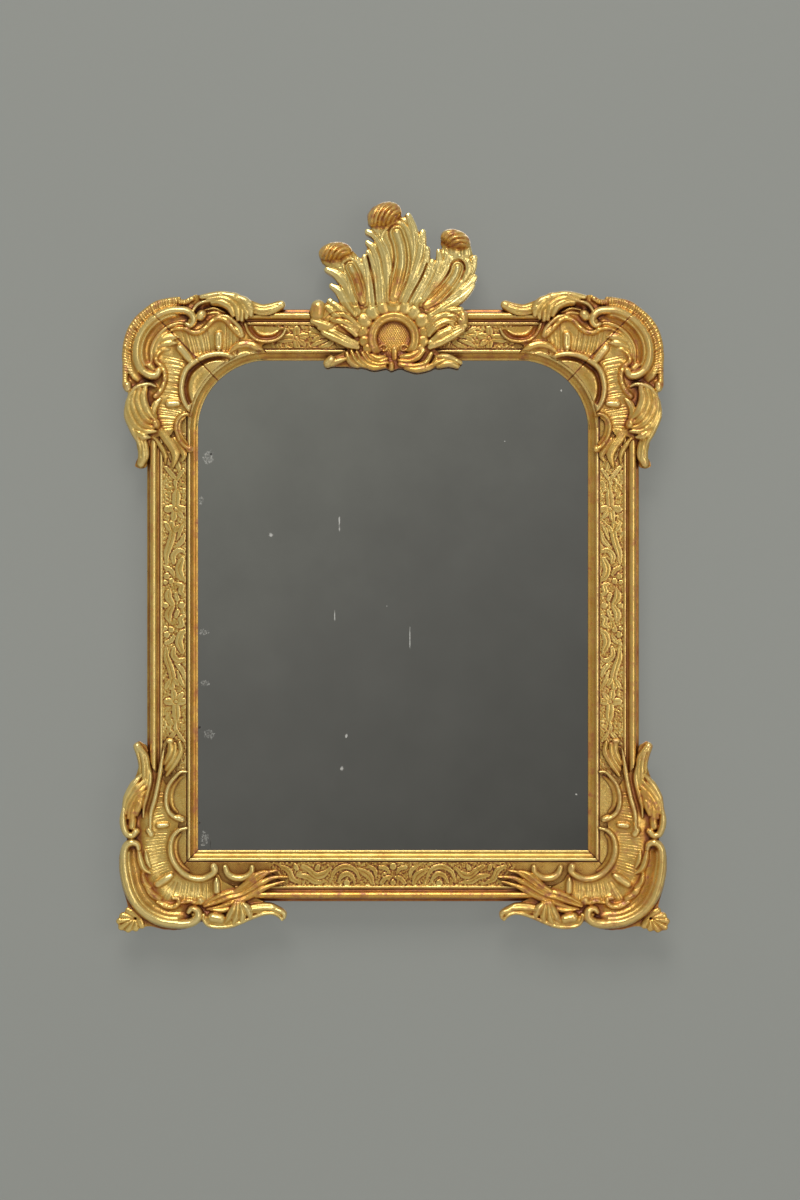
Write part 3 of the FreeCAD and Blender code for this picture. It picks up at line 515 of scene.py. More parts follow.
# Lower corner: a runs outward from the sight, b runs down from it
LOWER_OUTLINE = [
    (82, -140), (76, -143.5), (66, -138), (62, -122), (56, -106), (46, -96), (40, -84), (41, -62), (36, -48),
    (24, -39), (26, -27), (33, -16), (34, 2), (28, 16), (16, 30), (4, 36), (-8, 36), (-20, 31), (-28, 30),
    (-32, 38), (-50, 48), (-66, 52), (-74, 60), (-88, 66), (-102, 72), (-112, 76), (-116, 83), (-111, 91),
    (-105, 87), (-97, 82.5), (-85, 83.5), (-70, 89), (-55, 96), (-40, 101), (-25, 101.5), (-13, 98),
    (-7, 91), (-3, 93), (5, 97), (15, 101.5), (30, 103), (45, 102), (58, 98.5), (72, 98), (85, 103.5),
    (97, 103.5), (103.5, 95), (98, 86), (90, 76), (92, 66), (98, 46), (101.5, 25), (100.5, 0), (97, -6),
    (91, -15), (96, -25), (98.5, -35), (99.5, -48), (96, -61), (91, -76), (84, -89), (79, -101), (76, -112),
    (76, -122), (80, -133),
]


def carve_lower(relief):
    """Draws the lower corner: shell, scrolls and two leaves."""
    relief.ground(LOWER_OUTLINE, mitre_owner)
    # Hollow of the shell, cut with flutes
    relief.swell([(62, -40), (64, -10), (62, 15), (55, 40), (40, 58), (15, 62), (-15, 62)], 14, 2.6)
    relief.flutes([(40, -24), (41, -8), (39.5, 8), (36, 22)],
                  [(67, -24), (67, -4), (66, 12), (60, 32)], 14, 0.8, 1.2)
    relief.flutes([(30, 39), (25, 41)], [(47, 61), (34, 64)], 5, 0.8, 1.2)
    relief.flutes([(19, 40), (4, 42.5), (-17, 41)], [(24, 63), (4, 65), (-18, 62)], 12, 0.8, 1.2)
    relief.flutes([(42, -44), (45, -58), (44, -76)], [(60, -40), (58, -56), (53, -76)], 9, 0.8, 1.2)
    # Big scroll: broad roll, hollow and two curled ends
    big = [
        (88, -10), (94, -2), (95.5, 12), (94, 29), (90.5, 45), (85, 59), (77, 71.5), (67, 81), (55, 88),
        (42, 92.5), (28, 94), (14, 93),
    ]
    section = [
        (-7, 30), (-6, 35), (-3.5, 40.5), (0, 42.5), (3.5, 41.5), (6, 38), (7, 36.5), (7.8, 37.5), (9, 36),
        (11.5, 32.5), (15, 30.2), (18.5, 30), (21, 31.5), (22.6, 34.5), (24, 35), (25.4, 33), (27, 30),
    ]
    relief.sweep("corner_scroll", big, section, (0.75, 1))
    relief.cut([(97, 10), (96.5, 26), (93.5, 42), (88, 57)], 1.3, 1.2)
    hollow = [(80, 4), (80.5, 20), (77, 38), (69, 54), (57, 66), (44, 74), (28, 78)]
    relief.rolls("corner_scroll", [
        ([(95.5, 16), (95, 3), (92, -7), (85, -11.5), (78, -9), (76, -3)], 5.4, 32, 10, (0.9, 0.6)),
        ([(40, 93), (28, 94), (16, 94), (6, 91.5), (-1, 85), (0, 77), (7, 74.5), (11, 79)], 6.4, 32, 10.4,
         (0.9, 0.55)),
        ([(5, 82)], 3.0, 32, 6),
    ])
    # Knobs and strips beside the hollow
    relief.rolls("shell", [
        ([(76, 0), (73.5, 12), (69, 23), (61, 28.5)], 4.6, 30.5, 7.5, (0.7, 0.5), 2),
        ([(67, 0), (65, 12), (61, 21)], 3.6, 30, 6, (0.6, 0.6)),
        ([(71, 30), (68, 41), (61, 47)], 4.0, 30.5, 7.5, (0.6, 0.7), 2),
        ([(66, 46), (58, 56), (49, 61.5)], 4.8, 30.5, 8, (0.6, 0.8), 3),
        ([(52, 66), (41, 71.5), (31, 72), (24, 67), (25, 61.5), (31, 61)], 3.8, 30.5, 7.5, (0.6, 0.7), 0, 5),
        ([(20, 67), (10, 64.5), (2, 67), (-8, 65)], 3.8, 30.5, 6.5, (0.6, 0.8), 0, 4),
        ([(-4, 64), (-5, 66)], 5, 30, 8),
    ])
    # Pipes
    relief.rolls("shell", [
        ([(51, 43), (34, 31.5)], 5.4, 30, 7, (1, 0.7)),
        ([(-25, 36), (-25.5, 52)], 4.8, 29.5, 7, (0.6, 1)),
        ([(39, -34), (50, -33)], 4.0, 29.5, 6.5, (0.8, 1)),
        ([(63, -27), (60, -22)], 4.6, 30, 7),
    ])
    # Sight scroll and the small scrolls beside it
    sight = [
        (14, -30), (24, -27), (31, -20), (34.5, -9), (34, 4), (29.5, 16), (20, 27.5), (8, 34.5), (-5, 36),
        (-17, 31.5), (-23.5, 25), (-22, 20),
    ]
    relief.rolls("sight_scroll", [
        ([(22, -22), (27.5, -14), (29, -3), (27, 8), (21, 18), (11, 26)], 4.0, 25.5, 4.5, (0.5, 0.5)),
        (sight, 4.2, 29.5, 7.5, (0.55, 1.1)),
        ([(-22, 24), (-21, 20)], 4.8, 30, 8),
    ])
    relief.rolls("stile_leaf", [
        ([(19, -97), (26, -91), (32, -82), (34.5, -70), (32.5, -58), (26, -50)], 3.6, 25.5, 4, (0.5, 0.5)),
        ([(14, -103), (22, -102.5), (30, -95), (36.5, -86), (40, -75), (40.5, -62), (37, -51), (30, -44.5),
         (22, -41)], 3.2, 28.5, 7.5, (0.6, 1.1)),
        ([(25, -43), (20, -41)], 4.6, 29, 7.5),
    ])
    relief.roll("rail_leaf", [(-36, 21), (-39, 29), (-46, 34), (-55, 35.5), (-64, 33), (-70, 27.5),
                (-71, 21)], 5.0, 28, 7.5, (0.8, 0.8))
    # Long striped frond over the bottom rail
    fronds = [
        [(-8, 70), (-22, 61.5), (-38, 55.5), (-53, 52), (-65, 46.5), (-78, 37), (-91, 28), (-105, 25)],
        [(-9, 72), (-25, 66.5), (-41, 61), (-56, 57.5), (-69, 50.5), (-83, 41.5), (-98, 34.5), (-118, 33.5)],
        [(-13, 75.5), (-28, 72.5), (-44, 67.5), (-59, 63), (-73, 56), (-88, 47.5), (-103, 42), (-114, 39)],
        [(-46, 53), (-60, 45), (-71, 35.5), (-80, 29), (-90, 26)],
    ]
    relief.leaves("rail_leaf", fronds, 4.2, 28.5, 7.5, (0.5, 0.35), ribs=2, groove=2.4)
    # Leaf that rolls over along the bottom rail
    relief.swell([(-16, 88), (-34, 91), (-52, 88), (-70, 81)], 13, 3.5)
    relief.rolls("rail_leaf", [
        ([(-14, 89), (-28, 92.5), (-44, 91.5), (-58, 87)], 8.5, 30, 7.5, (0.8, 0.8)),
        ([(-20, 86), (-31, 88)], 7, 31.5, 10),
        ([(-9, 82), (-8.5, 89), (-14, 96), (-25, 98.5), (-40, 97.8), (-55, 93), (-70, 86.5), (-85, 81.5),
         (-97, 80.5), (-106, 84), (-110, 89)], 3.0, 31, 7.5, (0.8, 0.8)),
    ])
    knob = [
        [(-50, 67), (-46, 78), (-37, 92)],
        [(-53, 67), (-52, 80), (-47, 94)],
        [(-56, 67), (-59, 80), (-58, 92)],
        [(-60, 68), (-67, 77), (-69, 87)],
    ]
    relief.leaves("rail_leaf", knob, 5.4, 32, 9.0, (0.6, 0.45), ribs=2)
    relief.roll("rail_leaf", [(-64, 77), (-80, 74.5), (-94, 74), (-108, 79)], 7.2, 30, 7.5, (0.9, 0.8))
    relief.cut([(-70, 78), (-84, 77), (-98, 77.5)], 1.4, 1.6)
    relief.cut([(-68, 72.5), (-82, 71), (-96, 71.5)], 1.3, 1.4)
    relief.rolls("rail_leaf", [
        ([(-104, 76), (-112, 80), (-113, 86)], 4.0, 31, 8, (0.8, 0.7)),
        ([(-18, 76), (-32, 77), (-43, 74)], 4.0, 30, 6, (0.6, 0.6), 2),
    ])
    # Leaf that rolls over along the stile
    relief.swell([(88, -34), (90, -52), (84, -72), (75, -94), (72, -116)], 14, 3.5)
    relief.roll("stile_leaf", [(68, -88), (68.5, -106), (70.5, -121), (78, -136)], 8.0, 31, 7.5, (0.8, 0.7))
    relief.cut([(73, -94), (72.5, -112), (75.5, -128)], 1.5, 2.4)
    relief.cut([(66, -94), (66, -110), (68, -124)], 1.3, 1.6)
    strands = [
        [(72, -100), (83, -86), (91, -70), (95, -54)],
        [(67, -94), (77, -82), (87, -66), (92, -50)],
        [(66, -86), (76, -74), (85, -59), (89, -44)],
        [(68, -78), (76, -67), (82, -53), (85, -40)],
        [(71, -70), (76, -60), (79, -48)],
    ]
    relief.leaves("stile_leaf", strands, 5.2, 32, 8.5, (0.4, 0.6), groove=1.6)
    relief.rolls("stile_leaf", [
        ([(84, -42), (85, -32)], 5.5, 31, 8),
        ([(95.5, -56), (96, -38), (92, -24), (84.5, -20.5), (79, -26)], 5.2, 32, 10.5, (0.5, 0.9)),
    ])
    # Long smooth stems between the leaf and the frieze
    relief.rolls("stile_leaf", [
        ([(43, -134), (46, -118), (49, -97), (54.5, -70), (60, -50), (61, -30)], 3.4, 30, 7.5, (0.4, 0.8)),
        ([(66, -122), (62, -106), (61, -92), (65, -74), (69, -58), (70, -44)], 3.4, 30, 7, (0.4, 0.5)),
    ])
    # Fronds that run up onto the frieze
    strands = [
        [(23, -141), (21.5, -130), (28, -117), (40, -98)], [(29, -139), (31, -124), (41, -106)],
        [(36, -144), (35, -130), (42, -114)],
    ]
    relief.leaves("stile_leaf", strands, 4.6, 26.5, 6.5, (0.6, 0.6), ribs=2, groove=1.5)
    relief.roll("stile_leaf", [(34, -143), (38, -143)], 4.0, 26.5, 7.5)
    # Fan tail outside the big scroll
    tips = [(90, 77), (97.5, 84), (101.5, 91), (99, 99), (90, 102), (80, 100.5), (72, 97)]
    for tip in tips:
        relief.roll("corner_scroll", [(78, 86), tip], 5.6, 29, 4.5, (0.8, 0.8))
    for first, second in zip(tips, tips[1:]):
        relief.cut([(80, 87), (0.5 * (first[0] + second[0]), 0.5 * (first[1] + second[1]))], 1.1, 1.8)
    # Gold kept fresh, and gold rubbed down to the red bole
    fresh = [
        ([(48, -76), (52, -40), (51, -5), (46, 25), (28, 48), (0, 51), (-22, 49)], 16, 0.08),
        (hollow, 8, 0.16),
        ([(52, -124), (57, -92), (63, -64), (68, -32)], 6.0, 0.06),
    ]
    rubbed = [
        (hollow, 8, 0.5),
        ([(71, 30), (61, 50), (42, 70), (24, 66), (2, 67)], 9, 0.9),
        ([(69, -78), (78, -62), (84, -46)], 12, 0.75),
    ]
    rubbed += [(strand, 6, 0.8) for strand in fronds]
    relief.gild(fresh, rubbed)


CORNER_OWNERS = [
    "shell", "shell_rail", "shell_stile", "corner_scroll", "rail_leaf", "stile_leaf", "sight_scroll",
]
ARCH_SQUARE = 12
ARCH_BAND = 13
CRACK = 0.9
ARCH_CRACK_VALUE = 0.05
RAIL_CRACK_VALUE = 0.02


def mitre_owner(a, b):
    """Gives each place to the half of the shell on its side of the mitre."""
    return np.where(b > a, CORNER_OWNERS.index("shell_rail"), CORNER_OWNERS.index("shell_stile"))


def carve_arch(relief):
    """Rounds the upper sight corner and gives it the lip and cove of the moulding."""
    a, b = relief.places()
    outward = np.hypot(a + ARCH_RADIUS, b + ARCH_RADIUS) - ARCH_RADIUS
    quarter = (a > -ARCH_RADIUS) & (b > -ARCH_RADIUS)
    shell = quarter & (a < ARCH_SQUARE) & (b < ARCH_SQUARE) & (outward >= 0)
    relief.height[shell & ~relief.mask] = FRIEZE
    relief.mask |= shell
    section = [point for point in rail_section() if point[0] < LIP]
    places, heights, values = np.array(section[1:]).T
    moulded = shell & (outward < ARCH_BAND)
    lowered = np.minimum(relief.height, np.interp(outward, places, heights))
    relief.height[moulded] = lowered[moulded]
    relief.exact[moulded] = lowered[moulded]
    # The arch takes the section's gilding values with their painted highlight and shade.
    relief.fixed[moulded] = np.interp(outward, places, values)[moulded]
    relief.fixed[moulded & (np.abs(a - b) < CRACK)] = ARCH_CRACK_VALUE
    relief.mask &= ~(quarter & (outward < 0))


def settle(relief):
    """Gives the cells of the shell to the half on their side of the mitre."""
    shared = relief.owner == relief.owners.index("shell")
    relief.owner[shared] = mitre_owner(*relief.places())[shared]


def grid_faces(shape):
    """Numbers the points of a grid and lists its cells as faces."""
    number = np.arange(shape[0] * shape[1]).reshape(shape)
    faces = np.stack([number[:-1, :-1], number[1:, :-1], number[1:, 1:], number[:-1, 1:]], axis=-1)
    return number, faces


# Order of corners that turns a face over
TURNED = [0, 3, 2, 1]
EASE_ROUNDS = 3
SHARP_ANGLE = math.radians(62)
LEAST = 3.0
WALL_GILDING = 0.3


def ease_border(relief, cells):
    """Smooths the stepped border of the carving in plan."""
    a, b = relief.places()
    used = np.zeros(relief.shape, int)
    for di, dj in ((0, 0), (1, 0), (0, 1), (1, 1)):
        used[di:relief.shape[0] - 1 + di, dj:relief.shape[1] - 1 + dj] += cells
    border = (used > 0) & (used < 4)
    weight = blur(border.astype(float), 1.0)
    weight[weight == 0] = 1
    for _ in range(EASE_ROUNDS):
        a, b = (np.where(border, blur(np.where(border, c, 0), 1.0) / weight, c) for c in (a, b))
    return a, b


def add_piece(name, vertices, faces, gilding, tone, materials, body="frame", slot="gilt_wood", nodes=()):
    """Makes one piece of the model with its gilding values."""
    mesh = bpy.data.meshes.new(name)
    mesh.from_pydata(vertices.reshape(-1, 3).tolist(), [], faces.reshape(-1, 4).tolist())
    for label, values in (("relief", gilding), ("tone", tone)):
        layer = mesh.attributes.new(label, "FLOAT", "POINT")
        layer.data.foreach_set("value", np.asarray(values, np.float32).ravel())
    mesh.shade_smooth()
    mesh.set_sharp_from_angle(angle=SHARP_ANGLE)
    piece = bpy.data.objects.new(name, mesh)
    bpy.context.scene.collection.objects.link(piece)
    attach(piece, body)
    if nodes:
        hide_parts(*nodes)
    for material in materials:
        mesh.materials.append(material)
    return piece


def carve_pieces(relief, place, prefix, flip, materials, tone_of, behind):
    """Turns a finished relief into one mesh for each owner, gilt in front and bare behind."""
    cells = relief.mask[:-1, :-1] & relief.mask[1:, :-1] & relief.mask[:-1, 1:] & relief.mask[1:, 1:]
    x, z = place(*ease_border(relief, cells))
    count = x.size
    front = metres(x, relief.height, z).reshape(-1, 3)
    back = metres(x, np.minimum(behind(z), relief.height - LEAST), z).reshape(-1, 3)
    vertices = np.vstack([front, back])
    quads = grid_faces(relief.shape)[1]
    owner = relief.owner[:-1, :-1]
    wide = np.pad(cells, 1)
    walls = []
    wall_owner = []
    for di, dj, first, second in ((0, -1, 0, 1), (1, 0, 1, 2), (0, 1, 2, 3), (-1, 0, 3, 0)):
        open_side = cells & ~wide[1 + di:wide.shape[0] - 1 + di, 1 + dj:wide.shape[1] - 1 + dj]
        start = quads[..., first][open_side]
        stop = quads[..., second][open_side]
        walls.append(np.stack([stop, start, start + count, stop + count], axis=-1))
        wall_owner.append(owner[open_side])
    walls = np.vstack(walls)
    wall_owner = np.concatenate(wall_owner)
    gilding = np.concatenate([relief.relief.ravel(), np.full(count, WALL_GILDING)])
    tone = np.clip(tone_of(x, z) + relief.wear, 0, 1)
    tone = np.tile(tone.ravel(), 2)
    for index, name in enumerate(relief.owners):
        chosen = cells & (owner == index)
        if not chosen.any():
            continue
        under = quads[chosen][:, ::-1] + count
        faces = np.vstack([quads[chosen], walls[wall_owner == index], under])
        if flip:
            faces = faces[:, ::-1]
        used, faces = np.unique(faces, return_inverse=True)
        faces = faces.reshape(-1, 4)
        node = prefix + name
        values = (gilding[used], tone[used], materials)
        piece = add_piece("carved_" + node, vertices[used], faces, *values, nodes=(node,))
        index_of_face = np.zeros(len(faces), np.int32)
        index_of_face[-len(under):] = 1
        piece.data.polygons.foreach_set("material_index", index_of_face)


# Crest: x runs right from the middle, z runs up from the top of the rail
CREST_OUTLINE = [
    (-91, -70), (-86, -63), (-72, -60), (-58, -52), (-50, -42), (-66, -34), (-88, -26), (-106, -18),
    (-110, -5), (-104, 9), (-95, 12), (-88, 6), (-85, 12), (-80, 13), (-74, 8), (-70, 6), (-74, 22),
    (-81, 29), (-77, 33), (-70, 30), (-64, 33), (-74, 42), (-88, 50), (-85, 54), (-93, 60), (-96, 68),
    (-90, 80), (-74, 86), (-60, 83), (-51, 75), (-43, 66), (-37, 69), (-33, 68), (-30, 62), (-34, 74),
    (-34, 84), (-30, 86), (-21, 79), (-26, 92), (-34, 99), (-30, 102), (-26, 102), (-33, 110), (-34, 122),
    (-27, 132), (-14, 138), (0, 134), (11, 121), (12, 118), (17, 123), (21, 120), (27, 108), (30, 97),
    (36, 102), (40, 99), (42, 90), (41, 81), (45, 78), (45, 65), (42, 51), (45.5, 60), (49, 63), (53, 59),
    (55, 50), (58, 70), (60, 76), (64, 78), (61, 86), (66, 96), (78, 102), (91, 99), (100, 88), (103, 72),
    (107, 66), (106, 54), (101, 44), (107, 40), (106, 29), (98, 16), (84, 5), (92, -3), (98, -12), (98, -22),
    (84, -28), (66, -37), (54, -42), (52, -50), (62, -59), (80, -63), (91, -69), (84, -77), (66, -75),
    (50, -77), (28, -80), (8, -77), (-2, -81), (-10, -77), (-40, -76), (-76, -75),
]
CREST_OWNERS = [
    "crest_board", "crest_plume_left", "crest_plume_centre", "crest_plume_right", "crest_tip_left",
    "crest_tip_centre", "crest_tip_right", "crest_shell_rim", "crest_shell_floor", "crest_beads",
    "crest_side_leaf_left", "crest_side_leaf_right", "crest_lower_leaf_left", "crest_lower_leaf_right",
]
# Lobes of the plumes with their half widths
PLUME_LOBES = {
    "left": [
        ([(-86, 51), (-72, 44), (-60, 30), (-52, 8), (-47, -4)], 7.0),
        ([(-80, 30), (-69, 22), (-61, 8), (-51, -7)], 6.5),
        ([(-66, 60), (-60, 50), (-54, 34), (-49, 8)], 5.0),
        ([(-37, 68), (-35, 52), (-33, 32), (-31, 6)], 6.0),
        ([(-46, 65), (-41, 48), (-38, 30), (-36, 6)], 5.0),
        ([(-29, 54), (-27, 36), (-26, 20), (-25, 5)], 4.0),
        ([(-68, 56), (-62, 63), (-54, 63), (-47, 54), (-43, 40)], 4.0),
        ([(-57, 60), (-63, 70)], 8.0),
        ([(-72, 57), (-76, 66)], 7.0),
    ],
    "centre": [
        ([(-33, 74), (-27, 64), (-21, 46), (-19, 28), (-18, 6)], 5.5),
        ([(-33, 86), (-25, 78), (-18, 62), (-15, 40), (-13, 8)], 7.0),
        ([(-33, 100), (-22, 94), (-13, 78), (-8, 55), (-7, 30), (-6, 6)], 7.5),
        ([(20, 121), (25, 106), (27, 86), (26, 62), (20, 36), (11, 10)], 7.5),
        ([(39, 100), (38, 86), (35, 66), (28, 44), (18, 20), (12, 6)], 7.0),
        ([(45, 78), (43, 64), (36, 45), (26, 25), (17, 8)], 6.0),
        ([(-16, 92), (-10, 104), (2, 110.5), (13, 106), (19, 92), (22, 72), (20, 50)], 5.0),
        ([(-20, 98), (-20, 110)], 7.0),
        ([(2, 106), (-4, 118)], 9.0),
    ],
    "right": [
        ([(46, 56), (43, 43), (34, 26), (22, 7)], 5.0),
        ([(51, 62), (50, 47), (42, 30), (29, 9)], 6.0),
        ([(59, 75), (60, 61), (55, 44), (44, 25), (32, 6)], 6.0),
        ([(70, 76), (70, 60), (62, 43), (50, 25), (38, 7)], 6.5),
        ([(106, 66), (102, 52), (91, 38), (75, 23), (58, 9), (46, -1)], 7.5),
        ([(106, 41), (98, 30), (85, 18), (67, 5), (50, -8)], 7.5),
        ([(104, 30), (94, 19), (78, 7), (62, -3), (48, -12)], 6.0),
        ([(72, 58), (77, 66), (86, 69), (95, 63), (98, 50), (92, 38)], 4.5),
        ([(80, 68), (81, 80)], 9.0),
        ([(94, 66), (94, 78)], 8.0),
    ],
}
# Creases that part the plumes, and those within them
PLUME_PARTINGS = [
    [(-33, 68), (-29, 50), (-25, 30), (-22, 5)], [(44, 58), (37, 40), (27, 22), (18, 5)],
]
PLUME_CREASES = [
    [(-68, 29), (-58, 12), (-50, -4)], [(-66, 8), (-56, -6), (-44, -18)], [(-21, 79), (-15, 60), (-11, 30)],
    [(-26, 101), (-16, 88), (-8, 70)], [(30, 97), (31, 75), (24, 48)], [(41, 81), (39, 64), (31, 42)],
    [(55, 50), (48, 34), (36, 14)], [(101, 44), (90, 30), (70, 14), (52, 0)], [(84, 6), (66, -4), (50, -16)],
]
# Pipes of the plumes with their half widths
PLUME_PIPES = {
    "left": ([(-55, 54), (-49, 42), (-44, 26), (-40, 8)], 7.5),
    "centre": ([(5, 98), (10, 82), (12, 62), (9, 44), (4, 26), (1, 14)], 10.5),
    "right": ([(84, 53), (80, 42), (69, 27), (55, 12), (43, 3)], 8.5),
}
PIPE_TAPER = (1, 0.55)
# Rolled tips: centre, half widths and lean in degrees
TIPS = {
    "left": ((-75, 73), (22, 13.5), 8),
    "centre": ((-11, 120.5), (23.5, 17), 25),
    "right": ((81, 89), (20.5, 13.5), -20),
}
TIP_BASE = 3.0
TIP_RISE = 20.0
TIP_SHADE = 0.12
TIP_WEAR = 0.35
UNDERCUT = 7.0
STRAND_PITCH = 5.6
STRAND_DEPTH = 0.32
# Rise of the plumes away from the shell and the foot, and the fresh gold above
PLUME_EDGE = 3.0
PLUME_RISE = 5.0
PLUME_LIFT = 0.14
SHELL_CLEAR = 40
SHELL_BLEND = 12
FOOT_LEVEL = -45
FOOT_BLEND = 20
FRESH_LEVEL = 8
FRESH_CLEAR = 44
LOBE_SPREAD = 1.15
# Shell: centre, ring, section of the ring, and beads by place and radius
SHELL_CENTRE = (1, -38)
SHELL_RADIUS = 28
SHELL_REACH = 0.8
FLOOR_RADII = (23, 22)
RIM_SECTION = [
    (-6.5, 30), (-5.5, 35.5), (-4, 38), (-2.5, 38), (-1, 36.2), (1, 36), (3, 37), (4.2, 36.5), (5.5, 33),
    (7, 28),
]
BEADS = [
    (-37, -16, 11), (-26, -5, 11), (-12, 1, 10.5), (27, -5, 11), (14, 1, 10.5), (38, -16, 11), (1, 2.5, 11),
]
SIDE_BEADS = [(40, -30, 9), (38, -42, 8), (34, -52, 7)]
# Side leaves: knob with its half width, strands and vein
SIDE_LEAVES = {
    "left": ([(-97, 2), (-98, -7)], 10, [
        [(-82, 10), (-72, 0), (-60, -12), (-45, -24)], [(-85, 2), (-75, -7), (-62, -17), (-47, -28)],
        [(-79, -14), (-70, -15.5), (-60, -22), (-48, -34)], [(-95, -24), (-80, -30), (-63, -39), (-47, -45)],
        [(-90, -31), (-74, -38), (-58, -46), (-46, -50)], [(-104, -16), (-88, -21), (-76, -25)],
        [(-76, 6), (-66, -4), (-54, -16), (-44, -24)],
    ], [(-70, -24), (-61, -29), (-52, -38)]),
    "right": ([(90, -10), (90, -15)], 8.5, [
        [(88, -1), (73, -4), (58, -12), (45, -24)], [(86, -8), (71, -11), (57, -18), (46, -29)],
        [(79, -15), (68, -17), (57, -23), (47, -34)], [(93, -22), (78, -29), (62, -36), (48, -44)],
        [(90, -27), (76, -35), (62, -43), (48, -50)], [(76, -21), (74, -27), (64, -32), (52, -40)],
    ], [(68, -22), (59, -27), (51, -35)]),
}
LEAF_ARCS = [
    [(50, -12), (64, -5), (79, -6), (90, -15)],
    [(52, -19), (65, -12.5), (77, -13.5), (85, -20)],
    [(55, -26), (66, -20.5), (74, -21.5), (79, -26)],
]
# Lower leaves: strands, half width and ends
LOWER_LEAVES = {
    "left": ([
        [(-34, -57), (-28, -65), (-18, -68.5), (-8, -65)], [(-40, -57), (-33, -68), (-20, -73), (-7, -70)],
        [(-47, -56), (-40, -69), (-26, -76), (-10, -75)], [(-54, -55), (-48, -68), (-36, -75)],
        [(-60, -57), (-56, -68), (-46, -75)], [(-28, -60), (-20, -64), (-11, -62)],
        [(-62, -65), (-72, -68), (-80, -73)],
    ], 4.2, (0.6, 0.6)),
    "right": ([
        [(8, -67), (20, -68), (32, -63), (40, -54)], [(8, -72), (24, -75), (41, -71), (50, -58)],
        [(16, -77), (32, -79), (50, -74), (58, -62)], [(44, -76), (58, -70), (74, -65), (88, -70)],
        [(58, -75), (72, -71), (84, -75)], [(10, -62), (22, -61), (32, -56)],
        [(56, -62), (68, -62), (80, -65)],
    ], 4.4, (0.6, 0.7)),
}


def carve_plumes(relief):
    """Raises the three plumes with their lobes, creases and pipes."""
    a, b = relief.places()
    depth = np.clip(2 * blur(relief.mask.astype(float), PLUME_EDGE / GRID) - 1, 0, 1)
    away = np.hypot(a - SHELL_CENTRE[0], b - SHELL_CENTRE[1])
    spread = np.clip((away - SHELL_CLEAR) / SHELL_BLEND, 0, 1) * np.clip((b - FOOT_LEVEL) / FOOT_BLEND, 0, 1)
    relief.height += np.where(relief.mask, PLUME_RISE * depth ** 0.7 * spread, 0)
    for place, lobes in PLUME_LOBES.items():
        for path, half in lobes:
            relief.leaves("crest_plume_" + place, [path], LOBE_SPREAD * half, 31, 7.0, (0.5, 0.85), 3, 1.9)
    for crease in PLUME_PARTINGS + PLUME_CREASES:
        relief.cut(crease, 1.3, 1.6, (1, 0.6))
    relief.lift += np.where((b > FRESH_LEVEL) & (away > FRESH_CLEAR), PLUME_LIFT, 0)
    for place, (pipe, half) in PLUME_PIPES.items():
        relief.cut(pipe, half + 2.4, 6.0, PIPE_TAPER)
        relief.roll("crest_plume_" + place, pipe, half + 0.4, 31, 9.0, PIPE_TAPER)
        relief.cut(pipe, half * 0.76, 9.0, PIPE_TAPER)
        relief.swell(pipe, half * 0.62, 7.0)
        # Bands along each pipe paint a dark line outside, a light rim, a dark line inside and a light
        # interior: painted shade and painted highlight; the pipe's foot is rubbed to the bole.
        bands = ((half + 2.8, -0.30), (half + 0.2, 0.32), (half * 0.80, -0.34), (half * 0.62, 0.36))
        relief.gild([(pipe, *band) for band in bands], [(pipe[-3:], half * 0.9, 1.0)])
    for crease in PLUME_PARTINGS:
        relief.cut(crease, 1.6, 2.4, (1, 0.6))


def arc(centre, radii, start, stop, count):
    """Lists points along an arc of an ellipse."""
    turns = np.linspace(start, stop, count)
    return [(centre[0] + radii[0] * math.cos(t), centre[1] + radii[1] * math.sin(t)) for t in turns]


def carve_shell(relief):
    """Draws the shell in the middle of the rail with its curls and beads."""
    x0, z0 = SHELL_CENTRE
    ring = arc(SHELL_CENTRE, (SHELL_RADIUS, SHELL_RADIUS), -SHELL_REACH, math.pi + SHELL_REACH, 17)
    relief.roll("crest_shell_floor", [SHELL_CENTRE], 26, 26.5, 3, fill=True)
    relief.hatch(arc(SHELL_CENTRE, FLOOR_RADII, 0, 2 * math.pi, 24), 3.0, 1.5)
    relief.sweep("crest_shell_rim", ring, RIM_SECTION)
    for side in SIDES.values():
        curl = []
        for t in np.linspace(0.4, 6.0, 10):
            closing = 1 - 0.08 * t
            curl.append((x0 + side * (13 + 5.5 * math.cos(t) * closing), z0 - 13 + 5 * math.sin(t) * closing))
        relief.roll("crest_shell_floor", curl, 1.6, 29, 3.0, (1, 0.7))
    relief.roll("crest_shell_floor", [(2, -52), (2, -64)], 4.0, 28.5, 4, ribs=3)
    for x, z, radius in BEADS:
        relief.leaves("crest_beads", [[(x, z)]], radius, 29, 7.0, groove=2.2)
        relief.brighten([(x, z)], 0.9 * radius, 0.08)
    for side in SIDES.values():
        for x, z, radius in SIDE_BEADS:
            relief.leaves("crest_beads", [[(x0 + side * x, z)]], radius, 29, 5.5, groove=2.0)


def rolled_tip(relief, place):
    """Rolls a plume tip forward, with strands that wrap over it."""
    centre, halves, lean = TIPS[place]
    a, b = relief.places()
    turn = math.radians(lean)
    across = (a - centre[0]) * math.cos(turn) + (b - centre[1]) * math.sin(turn)
    up = (b - centre[1]) * math.cos(turn) - (a - centre[0]) * math.sin(turn)
    v = up / halves[1]
    reach = (across / halves[0]) ** 2 + v ** 2
    touched = reach < 1
    dome = np.sqrt(np.maximum(1 - reach, 0))
    ring = np.hypot(across - 0.75 * halves[0], up + 1.5 * halves[1])
    strands = np.abs(np.cos(ring * math.pi / STRAND_PITCH)) ** 0.7
    under = np.clip((-0.25 - v) / 0.5, 0, 1)
    dome = dome * (1 - STRAND_DEPTH + STRAND_DEPTH * strands)
    height = GROUND + TIP_BASE + TIP_RISE * dome - UNDERCUT * under
    relief.lay("crest_tip_" + place, (slice(None), slice(None)), height, touched)
    # The lower half of each tip is painted darker: painted shade under the roll.
    relief.lift[touched & (v < -0.1)] -= TIP_SHADE
    relief.wear[touched] = TIP_WEAR


